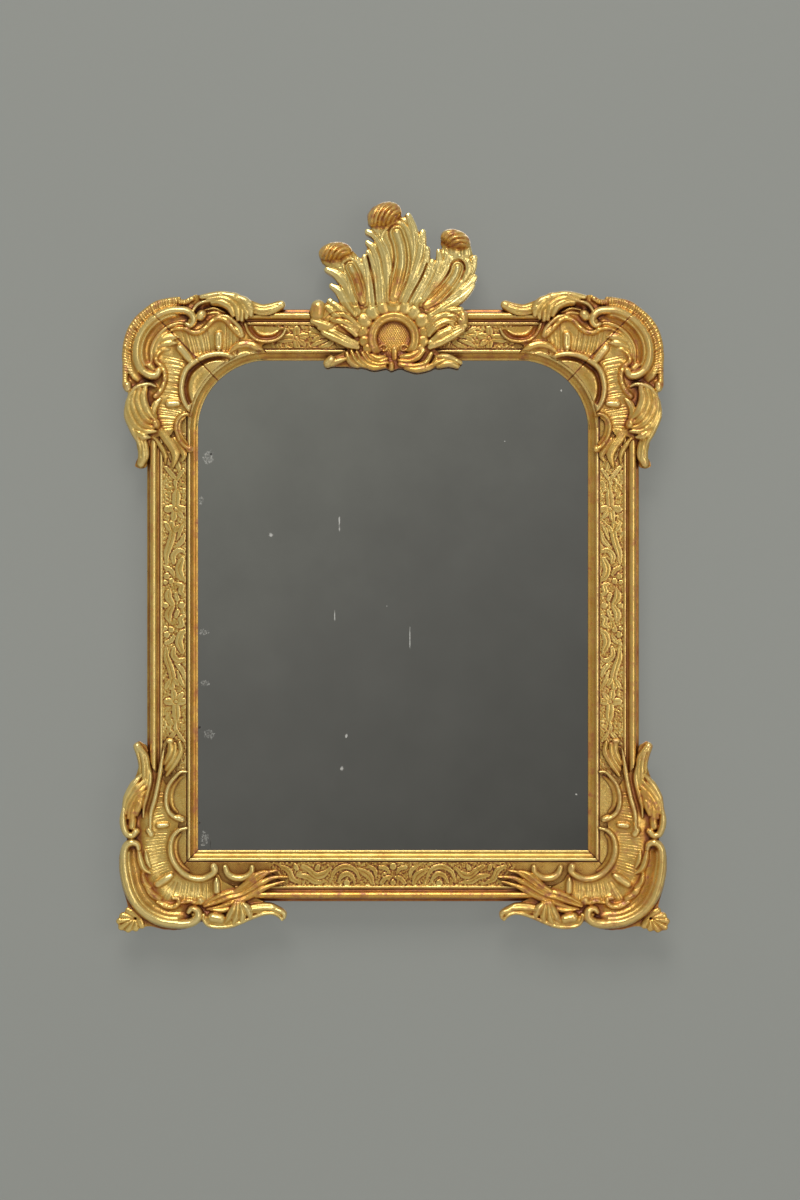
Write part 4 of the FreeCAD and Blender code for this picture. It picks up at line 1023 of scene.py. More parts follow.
def carve_crest(relief):
    """Draws the plumed crest with its shell and leaves."""
    relief.ground(CREST_OUTLINE, lambda a, b: np.zeros(a.shape, int))
    carve_plumes(relief)
    carve_shell(relief)
    for side, sign in SIDES.items():
        owner = "crest_side_leaf_" + side
        knob, half, strands, vein = SIDE_LEAVES[side]
        relief.roll(owner, knob, half, 30, 10)
        relief.leaves(owner, strands, 6.2, 30, 8, (0.7, 0.6), 3, 1.5)
        relief.cut(vein, 2.4, 2.2)
        for points in LEAF_ARCS:
            relief.cut([(sign * x, z) for x, z in points], 1.4, 2.2, (0.5, 0.5))
    for side, (strands, half, ends) in LOWER_LEAVES.items():
        relief.leaves("crest_lower_leaf_" + side, strands, half, 29, 7.5, ends, 2)
    relief.roll("crest_lower_leaf_left", [(-80, -66), (-85, -71)], 6, 29, 9)
    relief.roll("crest_board", [(-2, -72), (-2, -77)], 4, 29, 7)
    relief.brighten([(-56, -66), (0, -70), (56, -68)], 15, -0.10)
    for place in TIPS:
        rolled_tip(relief, place)


# Worn places of the crest: x, height above the rail, radius and share
WORN_PLACES = [
    (-98, -3, 13, 0.9), (90, -12, 12, 0.7), (0, -72, 60, 0.85), (0, 20, 11, 0.9), (-41, 36, 12, 0.6),
    (58, 24, 14, 0.75), (-25, 39, 9, 0.6), (1, -8, 30, 0.4),
]
FOOT_WEAR = 0.4
PLUME_WEAR = 0.12
ROLL_WEAR = 0.95
RIM_WEAR = 0.85


def crest_tone(x, z):
    """Wears the gold most on the tips, the shell rim and the worn places."""
    b = z - CREST_Z
    tone = np.where(b < -10, FOOT_WEAR, PLUME_WEAR)
    for centre, halves, _ in TIPS.values():
        reach = np.hypot((x - centre[0]) / halves[0], (b - centre[1]) / halves[1])
        tone = np.maximum(tone, ROLL_WEAR * np.clip(2.6 - 2 * reach, 0, 1))
    for worn_x, worn_b, radius, share in WORN_PLACES:
        reach = np.hypot(x - worn_x, b - worn_b) / radius
        tone = np.maximum(tone, share * np.clip(2 - 2 * reach, 0, 1))
    ring = np.abs(np.hypot(x - SHELL_CENTRE[0], b - SHELL_CENTRE[1]) - SHELL_RADIUS - 1)
    return np.maximum(tone, RIM_WEAR * np.clip(2.2 - ring / 4, 0, 1))


# Frieze: v runs along the rail from its middle, u runs out from the sight
FRIEZE_LEAVES = [
    # Flower on its stem
    ([(127, 28.5), (137, 28), (152, 27)], 5.6, (0.8, 0.3)),
    ([(126, 31), (125, 40)], 4.8, (0.6, 0.9)),
    ([(126, 26), (124.5, 17.5)], 4.8, (0.6, 0.9)),
    ([(123, 30), (112, 31.5)], 4.4, (0.6, 0.7)),
    ([(122.5, 26), (115, 20)], 3.6, (0.6, 0.7)),
    ([(125, 28.5)], 2.4, (1, 1)),
    ([(152, 28), (160, 29), (168, 24), (176, 18.5)], 2.8, (0.5, 0.8)),
    ([(163, 28), (171, 34), (179, 41)], 3.2, (0.4, 0.8)),
    ([(176, 24), (186, 28), (197, 37)], 4.2, (0.5, 0.5)),
    # Split leaf that sweeps to the outer side
    ([(106, 34), (93, 33), (80, 36), (68, 40), (54, 41)], 4.8, (0.9, 0.35)),
    ([(99, 37), (107, 41.5)], 3.4, (0.9, 0.6)),
    ([(97, 29), (104, 25)], 3.4, (0.9, 0.5)),
    ([(106, 18), (96, 23), (86, 26)], 2.8, (0.4, 0.6)),
    ([(92, 17.5), (83, 21), (75, 29)], 3.4, (0.5, 0.5)),
    # Scrolling leaves towards the middle
    ([(70, 17.5), (71.5, 25), (65, 31.5), (56, 31)], 3.8, (0.5, 0.7)),
    ([(60, 20), (48, 24.5), (38, 22), (33, 17)], 5.2, (0.6, 0.5)),
    ([(49, 41), (46, 35), (40, 31)], 3.4, (0.8, 0.6)),
    ([(38, 40)], 4.4, (1, 1)),
    ([(31.5, 34.5)], 4.2, (1, 1)),
    ([(30, 42)], 3.2, (1, 1)),
    ([(28, 26), (25, 20.5), (18, 22), (13, 18)], 3.6, (0.6, 0.6)),
    ([(22, 36.5), (11, 38), (2, 33)], 5.0, (0.35, 0.7)),
    ([(15, 28.5), (8, 26)], 3.4, (0.6, 0.9)),
]
# Foliage of the bottom rail, with arches and shells about its middle
BOTTOM_LEAVES = [
    ([(5, 29), (9, 23), (17, 21.5)], 2.8, (0.6, 0.8)),
    ([(4, 34), (10, 36), (15, 42)], 3.2, (0.6, 0.8)),
    ([(46, 24), (36, 29), (30, 34), (27, 42)], 4.8, (0.5, 0.6)),
    ([(31, 20), (24, 25), (22, 33)], 3.0, (0.5, 0.6)),
    ([(81, 40), (76, 27), (63, 20.5), (50, 25), (43, 37)], 3.4, (0.4, 0.4)),
    ([(71, 41), (67, 33), (59, 30), (52, 35), (50, 41)], 3.2, (0.5, 0.5)),
    ([(60, 42)], 4.4, (1, 1)),
    ([(81, 22), (91, 31), (101, 32), (109, 25), (117, 20)], 4.4, (0.4, 0.6)),
    ([(92, 41), (102, 40), (112, 34), (124, 32)], 3.8, (0.4, 0.5)),
    ([(97, 20), (100, 24)], 3.4, (0.8, 0.6)),
    ([(121, 42), (131, 36), (136, 26), (146, 20)], 4.2, (0.4, 0.5)),
    ([(138, 41), (147, 34), (156, 22)], 3.6, (0.4, 0.5)),
    ([(125, 24), (127, 19)], 3.0, (0.8, 0.6)),
]
FRIEZE_RISE = 0.7
FRIEZE_GROOVE = 1.5
FRIEZE_LINE = 1.0
FRIEZE_STIPPLE = 0.6
FRIEZE_CROWN = 5
FRIEZE_RANGE = (14, 47)
FRIEZE_PAST = 60
FRIEZE_GILDING = 0.54
LINE_SHADE_WEIGHT = 0.85
LEAF_HIGHLIGHT_WEIGHT = 0.35
HATCH = 0.3
HATCH_WAVE = 2.6
PANEL = 95.0


def raise_leaf(relief, stem, width, ends=(1, 1)):
    """Raises one flat leaf of the frieze within a thin cut line."""
    relief.cut(stem, width + FRIEZE_LINE, FRIEZE_GROOVE, ends)
    relief.roll("frieze", stem, width, 0, FRIEZE_RISE, ends, crown=FRIEZE_CROWN)


def carve_frieze(half, leaves):
    """Draws the low gesso foliage of one rail on its pricked ground, hatched near the corners."""
    low, high = FRIEZE_RANGE
    relief = Relief((-half - FRIEZE_PAST, low), (half + FRIEZE_PAST, high), ["frieze"])
    chance = np.random.default_rng(SEED)
    v, u = relief.places()
    hatch = HATCH * (np.sin(HATCH_WAVE * (v + u)) + np.sin(HATCH_WAVE * (v - u)))
    pricked = FRIEZE_STIPPLE * blur(chance.standard_normal(relief.shape), 0.7)
    relief.height += np.where(np.abs(v) > half - PANEL, hatch, pricked)
    for points, width, ends in leaves:
        for side in SIDES.values():
            stem = [(side * v, u) for v, u in points]
            raise_leaf(relief, stem, width, ends)
            relief.cut(stem, 0.7, 0.45)
    raise_leaf(relief, [(0, 20.5)], 4.4)
    raise_leaf(relief, [(0, 41.5)], 4.0)
    relief.height = blur(relief.height, 0.55)
    # Cut lines are painted darker and raised leaves lighter: painted shade and painted highlight.
    step = relief.height - blur(relief.height, 3.0)
    relief.relief = np.clip(FRIEZE_GILDING + np.where(step < 0, LINE_SHADE_WEIGHT, LEAF_HIGHLIGHT_WEIGHT) * step, 0, 1)
    return relief


BEAD_CENTRE = (57.2, 27.5)
BEAD_HALVES = (4.9, 6.0)
EASED = 0.6
KEY_LEG = 40
KEY_TOP = 12


def rail_section():
    """Lists the points of the moulding across the rail: place, height and gilding value; the value is lighter
    on crowns and fillets and darker in the steps and channels, painted highlight and shade.
    """
    points = [(0, REBATE, 0.1), (0, 17.2, 0.55), (0.8, 18, 0.6), (2.3, 18, 0.55)]
    for t in np.linspace(0.15, 1, 7):
        points.append((2.5 + 7 * t, 18 + 7.5 * (1 - math.sqrt(1 - 0.98 * t * t)), 0.35 + 0.2 * t))
    points += [
        (9.6, 27.0, 0.6), (10.1, 27.5, 0.7), (12.4, 27.5, 0.7), (13, 27, 0.6), (13.2, 24.8, 0.1),
        (14.6, 24.6, 0.1),
    ]
    for u in np.arange(*FRIEZE_EDGES, 0.75):
        points.append((u, FRIEZE, 0.5))
    points += [
        (45.6, 27.0, 0.6), (46.2, 27.5, 0.7), (48.3, 27.5, 0.7), (49, 27, 0.55), (49.4, 26.2, 0.2),
        (51.6, 26.2, 0.45), (52.2, 26.6, 0.3),
    ]
    # The bead is painted lighter towards its crown: a painted highlight.
    for turn in np.radians(np.linspace(168, 0, 14)):
        across = BEAD_CENTRE[0] + BEAD_HALVES[0] * math.cos(turn)
        up = BEAD_CENTRE[1] + BEAD_HALVES[1] * math.sin(turn)
        points.append((across, up, 0.35 + 0.3 * max(0, math.sin(turn))))
    points += [(62, 22, 0.25), (65, 21.5, 0.45), (MOULDING, 20.5, 0.45)]
    points += [(MOULDING, KEY_TOP, 0.35), (MOULDING, 8, 0.35), (MOULDING, EASED, 0.3)]
    return points


BACK_SECTION = [
    (MOULDING, EASED), (MOULDING - EASED, 0), (24, 0), (8.6, 0), (8, EASED), (8, REBATE), (0, REBATE),
]
BRACE_EDGES = (31, 59)
BRACE_FOOT_U = 24
BRACE_BAYS = [2, 4]
STATIONS = 900

# Painted shade of each rail and of its lip (a negative amount lightens), and how far its gold is worn
RAIL_LOOKS = {
    "top_rail": (0.09, 0.05, 0.5),
    "bottom_rail": (0.12, 0.03, 0.3),
    "left_stile": (0.02, 0.02, 0.28),
    "right_stile": (0.02, -0.08, 0.6),
}
FRIEZE_WEAR = 0.5
# Wear of bands across a rail: from, to and amount
STILE_BANDS = [(0, 9, 0.75), (0, 2.6, 1.0), (58, 61, 0.8)]
BOTTOM_BANDS = [(0, LIP, 0.05), (50, MOULDING, 0.85)]


def rail_half(name):
    return SIGHT_HALF_Z if name.endswith("stile") else SIGHT_HALF_X


def rail_place(name, along, u):
    """Places a point of a rail in plan."""
    if name == "top_rail":
        return along * (SIGHT_HALF_X + u), SIGHT_CENTRE_Z + SIGHT_HALF_Z + u
    if name == "bottom_rail":
        return -along * (SIGHT_HALF_X + u), SIGHT_CENTRE_Z - SIGHT_HALF_Z - u
    if name == "right_stile":
        return SIGHT_HALF_X + u, SIGHT_CENTRE_Z - along * (SIGHT_HALF_Z + u)
    return -SIGHT_HALF_X - u, SIGHT_CENTRE_Z + along * (SIGHT_HALF_Z + u)


def on_frieze(u):
    return (u > FRIEZE_EDGES[0]) & (u < FRIEZE_EDGES[1])


def rail_tone(name, u):
    """Wears the gold to red on the edges and beads of the stiles and outside on the bottom rail."""
    tone = np.full(u.shape, RAIL_LOOKS[name][2])
    tone[on_frieze(u)] *= FRIEZE_WEAR
    bands = {"top_rail": [], "bottom_rail": BOTTOM_BANDS}.get(name, STILE_BANDS)
    for low, high, wear in bands:
        tone[(u >= low) & (u <= high)] = wear
    return tone


def build_rail(name, covered, gilt):
    """Sweeps one mitred rail with its carved frieze."""
    half = rail_half(name)
    frieze = carve_frieze(half, BOTTOM_LEAVES if name == "bottom_rail" else FRIEZE_LEAVES)
    section = np.array(rail_section())
    along, u = np.meshgrid(np.linspace(-1, 1, STATIONS), section[:, 0], indexing="ij")
    h = np.tile(section[:, 1], (STATIONS, 1))
    value = np.tile(section[:, 2], (STATIONS, 1))
    cells = frieze.cells_at(along * (half + u), u)
    carved = on_frieze(u)
    h = h + np.where(carved, frieze.height[cells], 0)
    value = np.where(carved, frieze.relief[cells], value)
    x, z = rail_place(name, along, u)
    h = np.where(covered(x, z), np.minimum(h, SEAT), h)
    quads = grid_faces(u.shape)[1][..., TURNED]
    to_mitre = (1 - np.abs(along)) * (half + u)
    in_key = (to_mitre < KEY_LEG) & (u == MOULDING) & (h == KEY_TOP)
    quads = quads[~(in_key[:-1, :-1] | in_key[1:, :-1])]
    # Each rail and its lip are darkened by their painted shade.
    shade, lip_shade, _ = RAIL_LOOKS[name]
    value = value - np.where(u < LIP, lip_shade, shade)
    value = np.where(to_mitre < CRACK, RAIL_CRACK_VALUE, value)
    add_piece("moulding_" + name, metres(x, h, z), quads, value, rail_tone(name, u), [gilt], nodes=(name,))


def build_back(name, material):
    """Makes the bare back of one rail; the top rail is notched for the crest braces."""
    u, h = np.array(BACK_SECTION).T
    half = rail_half(name)
    inner, outer = BRACE_EDGES
    stops = [-half + 10, -outer, -inner, inner, outer, half - 10]
    lines = [-(half + u)] + [np.full(len(u), stop) for stop in stops] + [half + u]
    along = np.array(lines) / (half + u)
    x, z = rail_place(name, along, u + 0 * along)
    quads = grid_faces(along.shape)[1][..., TURNED]
    if name == "top_rail":
        notched = np.zeros(quads.shape[:2], bool)
        notched[BRACE_BAYS] = u[1:] >= BRACE_FOOT_U
        quads = quads[~notched]
    vertices = metres(x, h + 0 * along, z)
    flat = np.full(along.size, 0.5)
    back = add_piece("back_" + name, vertices, quads, flat, flat, [material], slot="bare_pine")
    back.data.shade_flat()


def feed(tree, node, **inputs):
    """Gives inputs a constant or another node's output; _2 stands for the third input."""
    for key, value in inputs.items():
        socket = node.inputs[int(key[1:])] if key[0] == "_" else node.inputs[key.replace("_", " ")]
        if isinstance(value, bpy.types.NodeSocket):
            tree.links.new(value, socket)
        else:
            socket.default_value = value


def add_node(tree, kind, settings=None, **inputs):
    """Adds a shader node with its settings and inputs."""
    node = tree.nodes.new(kind)
    for key, value in (settings or {}).items():
        setattr(node, key, value)
    feed(tree, node, **inputs)
    return node


def new_material(name):
    material = bpy.data.materials.new(name)
    material.use_nodes = True
    tree = material.node_tree
    return material, tree, tree.nodes["Principled BSDF"]


def place_on(tree):
    return add_node(tree, "ShaderNodeTexCoord").outputs["Object"]


def ramp(tree, factor, stops):
    """Maps a value through coloured stops."""
    node = add_node(tree, "ShaderNodeValToRGB", Fac=factor)
    elements = node.color_ramp.elements
    while len(elements) < len(stops):
        elements.new(0.5)
    for element, (place, colour) in zip(elements, stops):
        element.position = place
        element.color = (*colour, 1)
    return node.outputs["Color"]


def grey(value):
    return (value, value, value)


def tinted(light, colour):
    return tuple(light * part for part in colour)


def mix(tree, factor, first, second, blend="MIX"):
    """Blends two colours."""
    settings = {"data_type": "RGBA", "blend_type": blend}
    node = add_node(tree, "ShaderNodeMix", settings, _0=factor, _6=first, _7=second)
    return node.outputs[2]


def sums(tree, operation, first, second, third=0.0):
    node = add_node(tree, "ShaderNodeMath", {"operation": operation}, _0=first, _1=second, _2=third)
    return node.outputs[0]


def vary(tree, value, texture, amount):
    """Varies a value by a texture about the texture's middle."""
    return sums(tree, "MULTIPLY_ADD", sums(tree, "SUBTRACT", texture, 0.5), amount, value)


def vector(tree, operation, **inputs):
    return add_node(tree, "ShaderNodeVectorMath", {"operation": operation}, **inputs)


def noise(tree, place, scale, detail=4.0, roughness=0.6):
    node = add_node(tree, "ShaderNodeTexNoise", Vector=place, Scale=scale, Detail=detail, Roughness=roughness)
    return node.outputs[0]


def set_bump(tree, shader, height, strength, distance):
    bump = add_node(tree, "ShaderNodeBump", Height=height, Strength=strength, Distance=distance)
    feed(tree, shader, Normal=bump.outputs[0])


# Gold from hollow to ridge, with painted shade in the hollows and painted highlight on the ridges, its worn
# colour, the bole beneath, and the darkening of recesses by ambient occlusion: grime and painted shade
GOLD_STOPS = [
    (0.10, (0.115, 0.035, 0.006)), (0.30, (0.350, 0.138, 0.026)), (0.43, (0.560, 0.350, 0.070)),
    (0.56, (0.700, 0.525, 0.165)), (0.85, (0.850, 0.725, 0.330)),
]
WORN_GOLD = (0.98, 0.74, 0.46, 1)
BOLE = (0.330, 0.105, 0.035, 1)
GRIME_AND_SHADE_STOPS = [(0.25, (0.40, 0.20, 0.09)), (0.82, grey(1))]
GRIME_AND_SHADE_REACH = 0.014


def gilt_material():
    """Old water gilding: ridges painted bright and hollows brown, painted highlight and shade along with
    burnish and toning, red bole showing through, and recesses darkened by ambient occlusion as grime and
    painted shade.
    """
    material, tree, shader = new_material("old_gilding")
    place = place_on(tree)
    relief = add_node(tree, "ShaderNodeAttribute", {"attribute_name": "relief"}).outputs["Fac"]
    tone = add_node(tree, "ShaderNodeAttribute", {"attribute_name": "tone"}).outputs["Fac"]
    patches = noise(tree, place, 45.0)
    grain = noise(tree, place, 700.0, 2.0)
    worn = noise(tree, place, 110.0, 6.0, 0.7)
    # The relief value paints ridges lighter and hollows darker: painted highlight and shade besides burnish
    # and toning.
    value = vary(tree, vary(tree, relief, patches, 0.35), grain, 0.16)
    gold = ramp(tree, value, GOLD_STOPS)
    warm = mix(tree, tone, (1, 1, 1, 1), WORN_GOLD)
    gold = mix(tree, 1.0, gold, warm, "MULTIPLY")
    rubbed = ramp(tree, worn, [(0.48, grey(0)), (0.64, grey(1))])
    rubbed = sums(tree, "MULTIPLY", rubbed, tone)
    gold = mix(tree, rubbed, gold, BOLE)
    # Recesses are darkened by ambient occlusion: grime and painted shade.
    depth = add_node(tree, "ShaderNodeAmbientOcclusion", {"samples": 6}, Distance=GRIME_AND_SHADE_REACH).outputs["AO"]
    gold = mix(tree, 1.0, gold, ramp(tree, depth, GRIME_AND_SHADE_STOPS), "MULTIPLY")
    metal = sums(tree, "SUBTRACT", 0.66, sums(tree, "MULTIPLY", rubbed, 0.5))
    rough = sums(tree, "MULTIPLY_ADD", worn, 0.22, 0.31)
    rough = sums(tree, "MULTIPLY_ADD", relief, -0.28, rough)
    feed(tree, shader, Base_Color=gold, Metallic=metal, Roughness=rough)
    feed(tree, shader, Coat_Weight=0.15, Coat_Roughness=0.22)
    set_bump(tree, shader, sums(tree, "ADD", grain, worn), 0.25, 0.0006)
    return material


ALONG_X = (3.0, 60.0, 60.0)
ALONG_Z = (60.0, 60.0, 3.0)
PINE_STOPS = [(0.25, (0.130, 0.066, 0.028)), (0.50, (0.300, 0.178, 0.084)), (0.75, (0.450, 0.300, 0.160))]
PINE_SOIL = (0.085, 0.052, 0.030, 1)


def pine_material(name, stretch, start, light):
    """Bare old pine, browned by air, with its grain along the board."""
    material, tree, shader = new_material(name)
    place = place_on(tree)
    stretched = add_node(tree, "ShaderNodeMapping", Vector=place, Location=start, Scale=stretch).outputs[0]
    grain = noise(tree, stretched, 3.0, 8.0, 0.62)
    figure = vary(tree, grain, noise(tree, stretched, 0.9, 3.0, 0.5), 0.9)
    colour = ramp(tree, figure, [(stop, tinted(light, shade)) for stop, shade in PINE_STOPS])
    soiled = ramp(tree, noise(tree, place, 11.0, 5.0), [(0.30, grey(0.55)), (0.62, grey(0))])
    colour = mix(tree, soiled, colour, PINE_SOIL)
    feed(tree, shader, Base_Color=colour, Roughness=sums(tree, "MULTIPLY_ADD", grain, 0.2, 0.68))
    set_bump(tree, shader, figure, 0.5, 0.0008)
    return material


def iron_material(name, light):
    """Forged iron with a brown bloom of rust; light makes it paler where hands rub it."""
    material, tree, shader = new_material(name)
    bloom = noise(tree, place_on(tree), 260.0, 6.0, 0.7)
    colour = ramp(tree, bloom, [
        (0.40, tinted(light, (0.060, 0.055, 0.050))), (0.56, tinted(light, (0.110, 0.085, 0.065))),
        (0.70, (0.230, 0.105, 0.045)),
    ])
    metal = ramp(tree, bloom, [(0.4, grey(0.85)), (0.65, grey(0.1))])
    feed(tree, shader, Base_Color=colour, Metallic=metal, Roughness=0.55)
    set_bump(tree, shader, bloom, 0.5, 0.0005)
    return material


# Marks on the old plate: x, z, half width, half height in millimetres and kind
MARKS = [
    (-240.5, -172, 7.5, 8.5, "flake"), (-237, -168, 2.6, 2.2, "spot"), (-250, -228, 3.0, 5.0, "flake"),
    (-159, -273.5, 3.0, 3.4, "chip"), (-70, -257, 1.1, 12.0, "chip"), (-76, -377.5, 0.9, 7.0, "chip"),
    (-8, -366, 1.0, 1.0, "chip"), (22, -409, 0.8, 16.0, "chip"), (-247, -400, 6.0, 4.0, "flake"),
    (-244, -466, 6.5, 3.6, "flake"), (-240, -533, 8.0, 6.0, "flake"), (-252, -524.5, 2.2, 2.8, "spot"),
    (-61, -536, 2.0, 3.4, "chip"), (-66, -578, 2.8, 3.2, "chip"), (239, -611.5, 1.3, 1.2, "chip"),
    (219.5, -85, 1.2, 1.5, "chip"), (145.5, -151, 1.2, 0.9, "chip"), (-246, -670, 6.0, 9.0, "flake"),
    (-252, -648, 1.5, 3.0, "spot"), (-238, -676, 0.7, 8.0, "spot"),
]
MARK_INKS = {"flake": (0.42, 0.43, 0.41, 1), "chip": (0.50, 0.50, 0.48, 1), "spot": (0.010, 0.010, 0.009, 1)}
PLATE_STOPS = [(0.15, (0.215, 0.205, 0.195)), (0.50, (0.385, 0.370, 0.355)), (0.85, (0.650, 0.640, 0.600))]
FLAKE_STOPS = [(0.30, grey(0.35)), (0.75, grey(0.95)), (1.0, grey(0))]
CHIP_STOPS = [(0.55, grey(0.9)), (1.0, grey(0))]


def plate_material():
    """Old mercury-silvered plate, greyed, with flaked silver and small chips."""
    material, tree, shader = new_material("old_plate")
    place = place_on(tree)
    parts = add_node(tree, "ShaderNodeSeparateXYZ", Vector=place)
    cloud = noise(tree, place, 9.0, 6.0, 0.6)
    # The plate is coloured lighter towards the top and the left, darker towards the bottom right.
    lift = sums(tree, "MULTIPLY_ADD", parts.outputs["Z"], 0.66, 0.74)
    lift = sums(tree, "MULTIPLY_ADD", parts.outputs["X"], -0.40, lift)
    colour = ramp(tree, vary(tree, lift, cloud, 0.18), PLATE_STOPS)
    specks = noise(tree, place, 190.0, 4.0, 0.7)
    flecks = noise(tree, place, 420.0, 4.0, 0.75)
    dusted = ramp(tree, specks, [(0.72, grey(0)), (0.80, grey(0.4))])
    colour = mix(tree, dusted, colour, (0.05, 0.045, 0.04, 1))
    torn = ramp(tree, flecks, [(0.46, grey(0)), (0.58, grey(1))])
    bare = 0.0
    for x, z, half_x, half_z, kind in MARKS:
        centre = (0.001 * x, 0.001 * (BACK_Y - REBATE), 0.001 * z)
        away = vector(tree, "SUBTRACT", _0=place, _1=centre).outputs[0]
        away = vector(tree, "MULTIPLY", _0=away, _1=(1000 / half_x, 0.0, 1000 / half_z)).outputs[0]
        reach = vary(tree, vector(tree, "LENGTH", _0=away).outputs["Value"], specks, 2.6)
        if kind == "flake":
            shape = sums(tree, "MULTIPLY", ramp(tree, reach, FLAKE_STOPS), torn)
        else:
            shape = ramp(tree, reach, CHIP_STOPS)
        colour = mix(tree, shape, colour, MARK_INKS[kind])
        bare = sums(tree, "MAXIMUM", shape, bare)
    metal = sums(tree, "SUBTRACT", 1.0, bare)
    rough = sums(tree, "MULTIPLY_ADD", cloud, 0.10, 0.02)
    feed(tree, shader, Base_Color=colour, Metallic=metal, Roughness=rough)
    return material


def silver_material():
    """Back of the tin amalgam."""
    material, tree, shader = new_material("tin_amalgam")
    cloud = noise(tree, place_on(tree), 60.0, 6.0)
    colour = ramp(tree, cloud, [(0.35, (0.20, 0.20, 0.19)), (0.65, (0.42, 0.42, 0.40))])
    feed(tree, shader, Base_Color=colour, Metallic=0.8, Roughness=0.5)
    return material


gilt = gilt_material()
pine = pine_material("old_pine", ALONG_X, (0, 0, 0), 1.3)
upright_pine = pine_material("upright_pine", ALONG_Z, (0.4, 0, 0), 1.25)
iron = iron_material("old_iron", 1.0)
rubbed_iron = iron_material("rubbed_iron", 2.6)
plate = plate_material()
silver = silver_material()

# Carved crest and corners: wear of each corner, ranges of the grids and how far back the plumes reach
CORNER_WEAR = {"upper_left": 0.28, "upper_right": 0.50, "lower_left": 0.20, "lower_right": 0.56}
CREST_RANGE = ((-114, -86), (112, 144))
CORNER_RANGE = ((-124, -150), (108, 108))
CREST_BACK = 11.0
crest = Relief(*CREST_RANGE, CREST_OWNERS)
carve_crest(crest)
crest.finish()
corners = {}
for end, carve in (("upper", carve_upper), ("lower", carve_lower)):
    relief = Relief(*CORNER_RANGE, CORNER_OWNERS)
    carve(relief)
    if end == "upper":
        carve_arch(relief)
    settle(relief)
    relief.finish()
    corners[end] = relief

for end, relief in corners.items():
    for side, sign in SIDES.items():
        up = ENDS[end]
        corner = end + "_" + side
        carve_pieces(
            relief,
            lambda a, b: (sign * (SIGHT_HALF_X + a), up * (SIGHT_HALF_Z + b) + SIGHT_CENTRE_Z),
            corner + "_",
            sign * up < 0,
            [gilt, pine],
            lambda x, z: np.full(x.shape, CORNER_WEAR[corner]),
            lambda z: np.full(z.shape, SEAT - 1),
        )
carve_pieces(
    crest,
    lambda a, b: (a, b + CREST_Z),
    "",
    False,
    [gilt, upright_pine],
    crest_tone,
    lambda z: np.where(z > CREST_Z, CREST_BACK, SEAT - 1),
)


def under_carving(x, z):
    """Tells which places of the rails lie beneath the carving."""
    found = crest.covers(x, z - CREST_Z)
    for end, relief in corners.items():
        a = np.abs(x) - SIGHT_HALF_X
        b = ENDS[end] * (z - SIGHT_CENTRE_Z) - SIGHT_HALF_Z
        found = found | relief.covers(a, b)
    return found


for rail in RAIL_LOOKS:
    build_rail(rail, under_carving, gilt)
    build_back(rail, upright_pine if rail.endswith("stile") else pine)

# Backboards from the bottom up, with the lightness of their wood
BOARDS = {"backboard_bottom": 1.25, "backboard_middle": 1.5, "backboard_top": 1.15}
BOARD_HALF_X = 261.0
BOARD_LOW = -326.0
BOARD_HEIGHT = 217.33
BOARD_FRONT = 10.6
BOARD_BACK = 4.6
BOARD_EDGE = np.array([0, 1.2, 4.0])
EDGE_DROP = [3.0, 1.6, 0]
PLANE_WIDTH = 31.0
PLANE_DEPTH = 0.35
PLANE_SLANT = 0.02
PLANE_INSET = 3.0


def add_board(name, low, light):
    """Makes one backboard: hand-planed in shallow hollows, with its edges eased."""
    far_edge = BOARD_EDGE[::-1]
    x = np.concatenate([BOARD_EDGE - BOARD_HALF_X, np.linspace(-250, 250, 40), BOARD_HALF_X - far_edge])
    z = np.concatenate([BOARD_EDGE, np.linspace(8, BOARD_HEIGHT - 8, 60), BOARD_HEIGHT - far_edge])
    x, z = np.meshgrid(x, z, indexing="ij")
    inset = np.minimum(BOARD_HALF_X - np.abs(x), np.minimum(z, BOARD_HEIGHT - z))
    hollow = PLANE_DEPTH * np.abs(np.sin(math.pi * (z + PLANE_SLANT * x) / PLANE_WIDTH))
    back = BOARD_BACK + np.interp(inset, BOARD_EDGE, EDGE_DROP)
    back = back + np.where(inset > PLANE_INSET, PLANE_DEPTH - hollow, 0)
    z = z + low + SIGHT_CENTRE_Z
    vertices = np.stack([metres(x, back, z), metres(x, np.full(x.shape, BOARD_FRONT), z)])
    number, quads = grid_faces(x.shape)
    quads = quads[..., TURNED].reshape(-1, 4)
    border = np.concatenate([number[:-1, 0], number[-1, :-1], number[:0:-1, -1], number[0, :0:-1]])
    following = np.roll(border, -1)
    walls = np.stack([border, following, following + x.size, border + x.size], axis=-1)
    faces = np.vstack([quads, quads[:, ::-1] + x.size, walls])
    flat = np.full(2 * x.size, 0.5)
    wood = pine_material("pine_of_" + name, ALONG_X, (low * 0.01, 0, low * 0.07), light)
    add_piece("planed_" + name, vertices, faces, flat, flat, [wood], slot="bare_pine", nodes=(name,))


for index, (board, light) in enumerate(BOARDS.items()):
    add_board(board, BOARD_LOW + index * BOARD_HEIGHT, light)

NODE_MATERIALS = {"mirror_glass": plate, "silvering": silver, "glazing_blocks": pine}
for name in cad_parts:
    if name.startswith(("crest_brace", "key_")):
        NODE_MATERIALS[name] = upright_pine
    if name.endswith(("screws", "sprigs")) or name.startswith("hanger"):
        NODE_MATERIALS[name] = iron
NODE_MATERIALS["hanger_ring"] = rubbed_iron
for name, material in NODE_MATERIALS.items():
    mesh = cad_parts[name].data
    mesh.materials.clear()
    mesh.materials.append(material)


WALL_Y = 0.012
WALL_GREY = (0.0983, 0.1012, 0.0935, 1)
WALL_GLOW = (0.1628, 0.1683, 0.1558, 1)
FLOOR_Z = -1.55
FLOOR_GREY = (0.62, 0.62, 0.60, 1)
PLANE_SIZE = 9
SEEN_GREY = (0.275, 0.283, 0.262, 1)
LAMP_WHITE = (1.0, 0.98, 0.95)


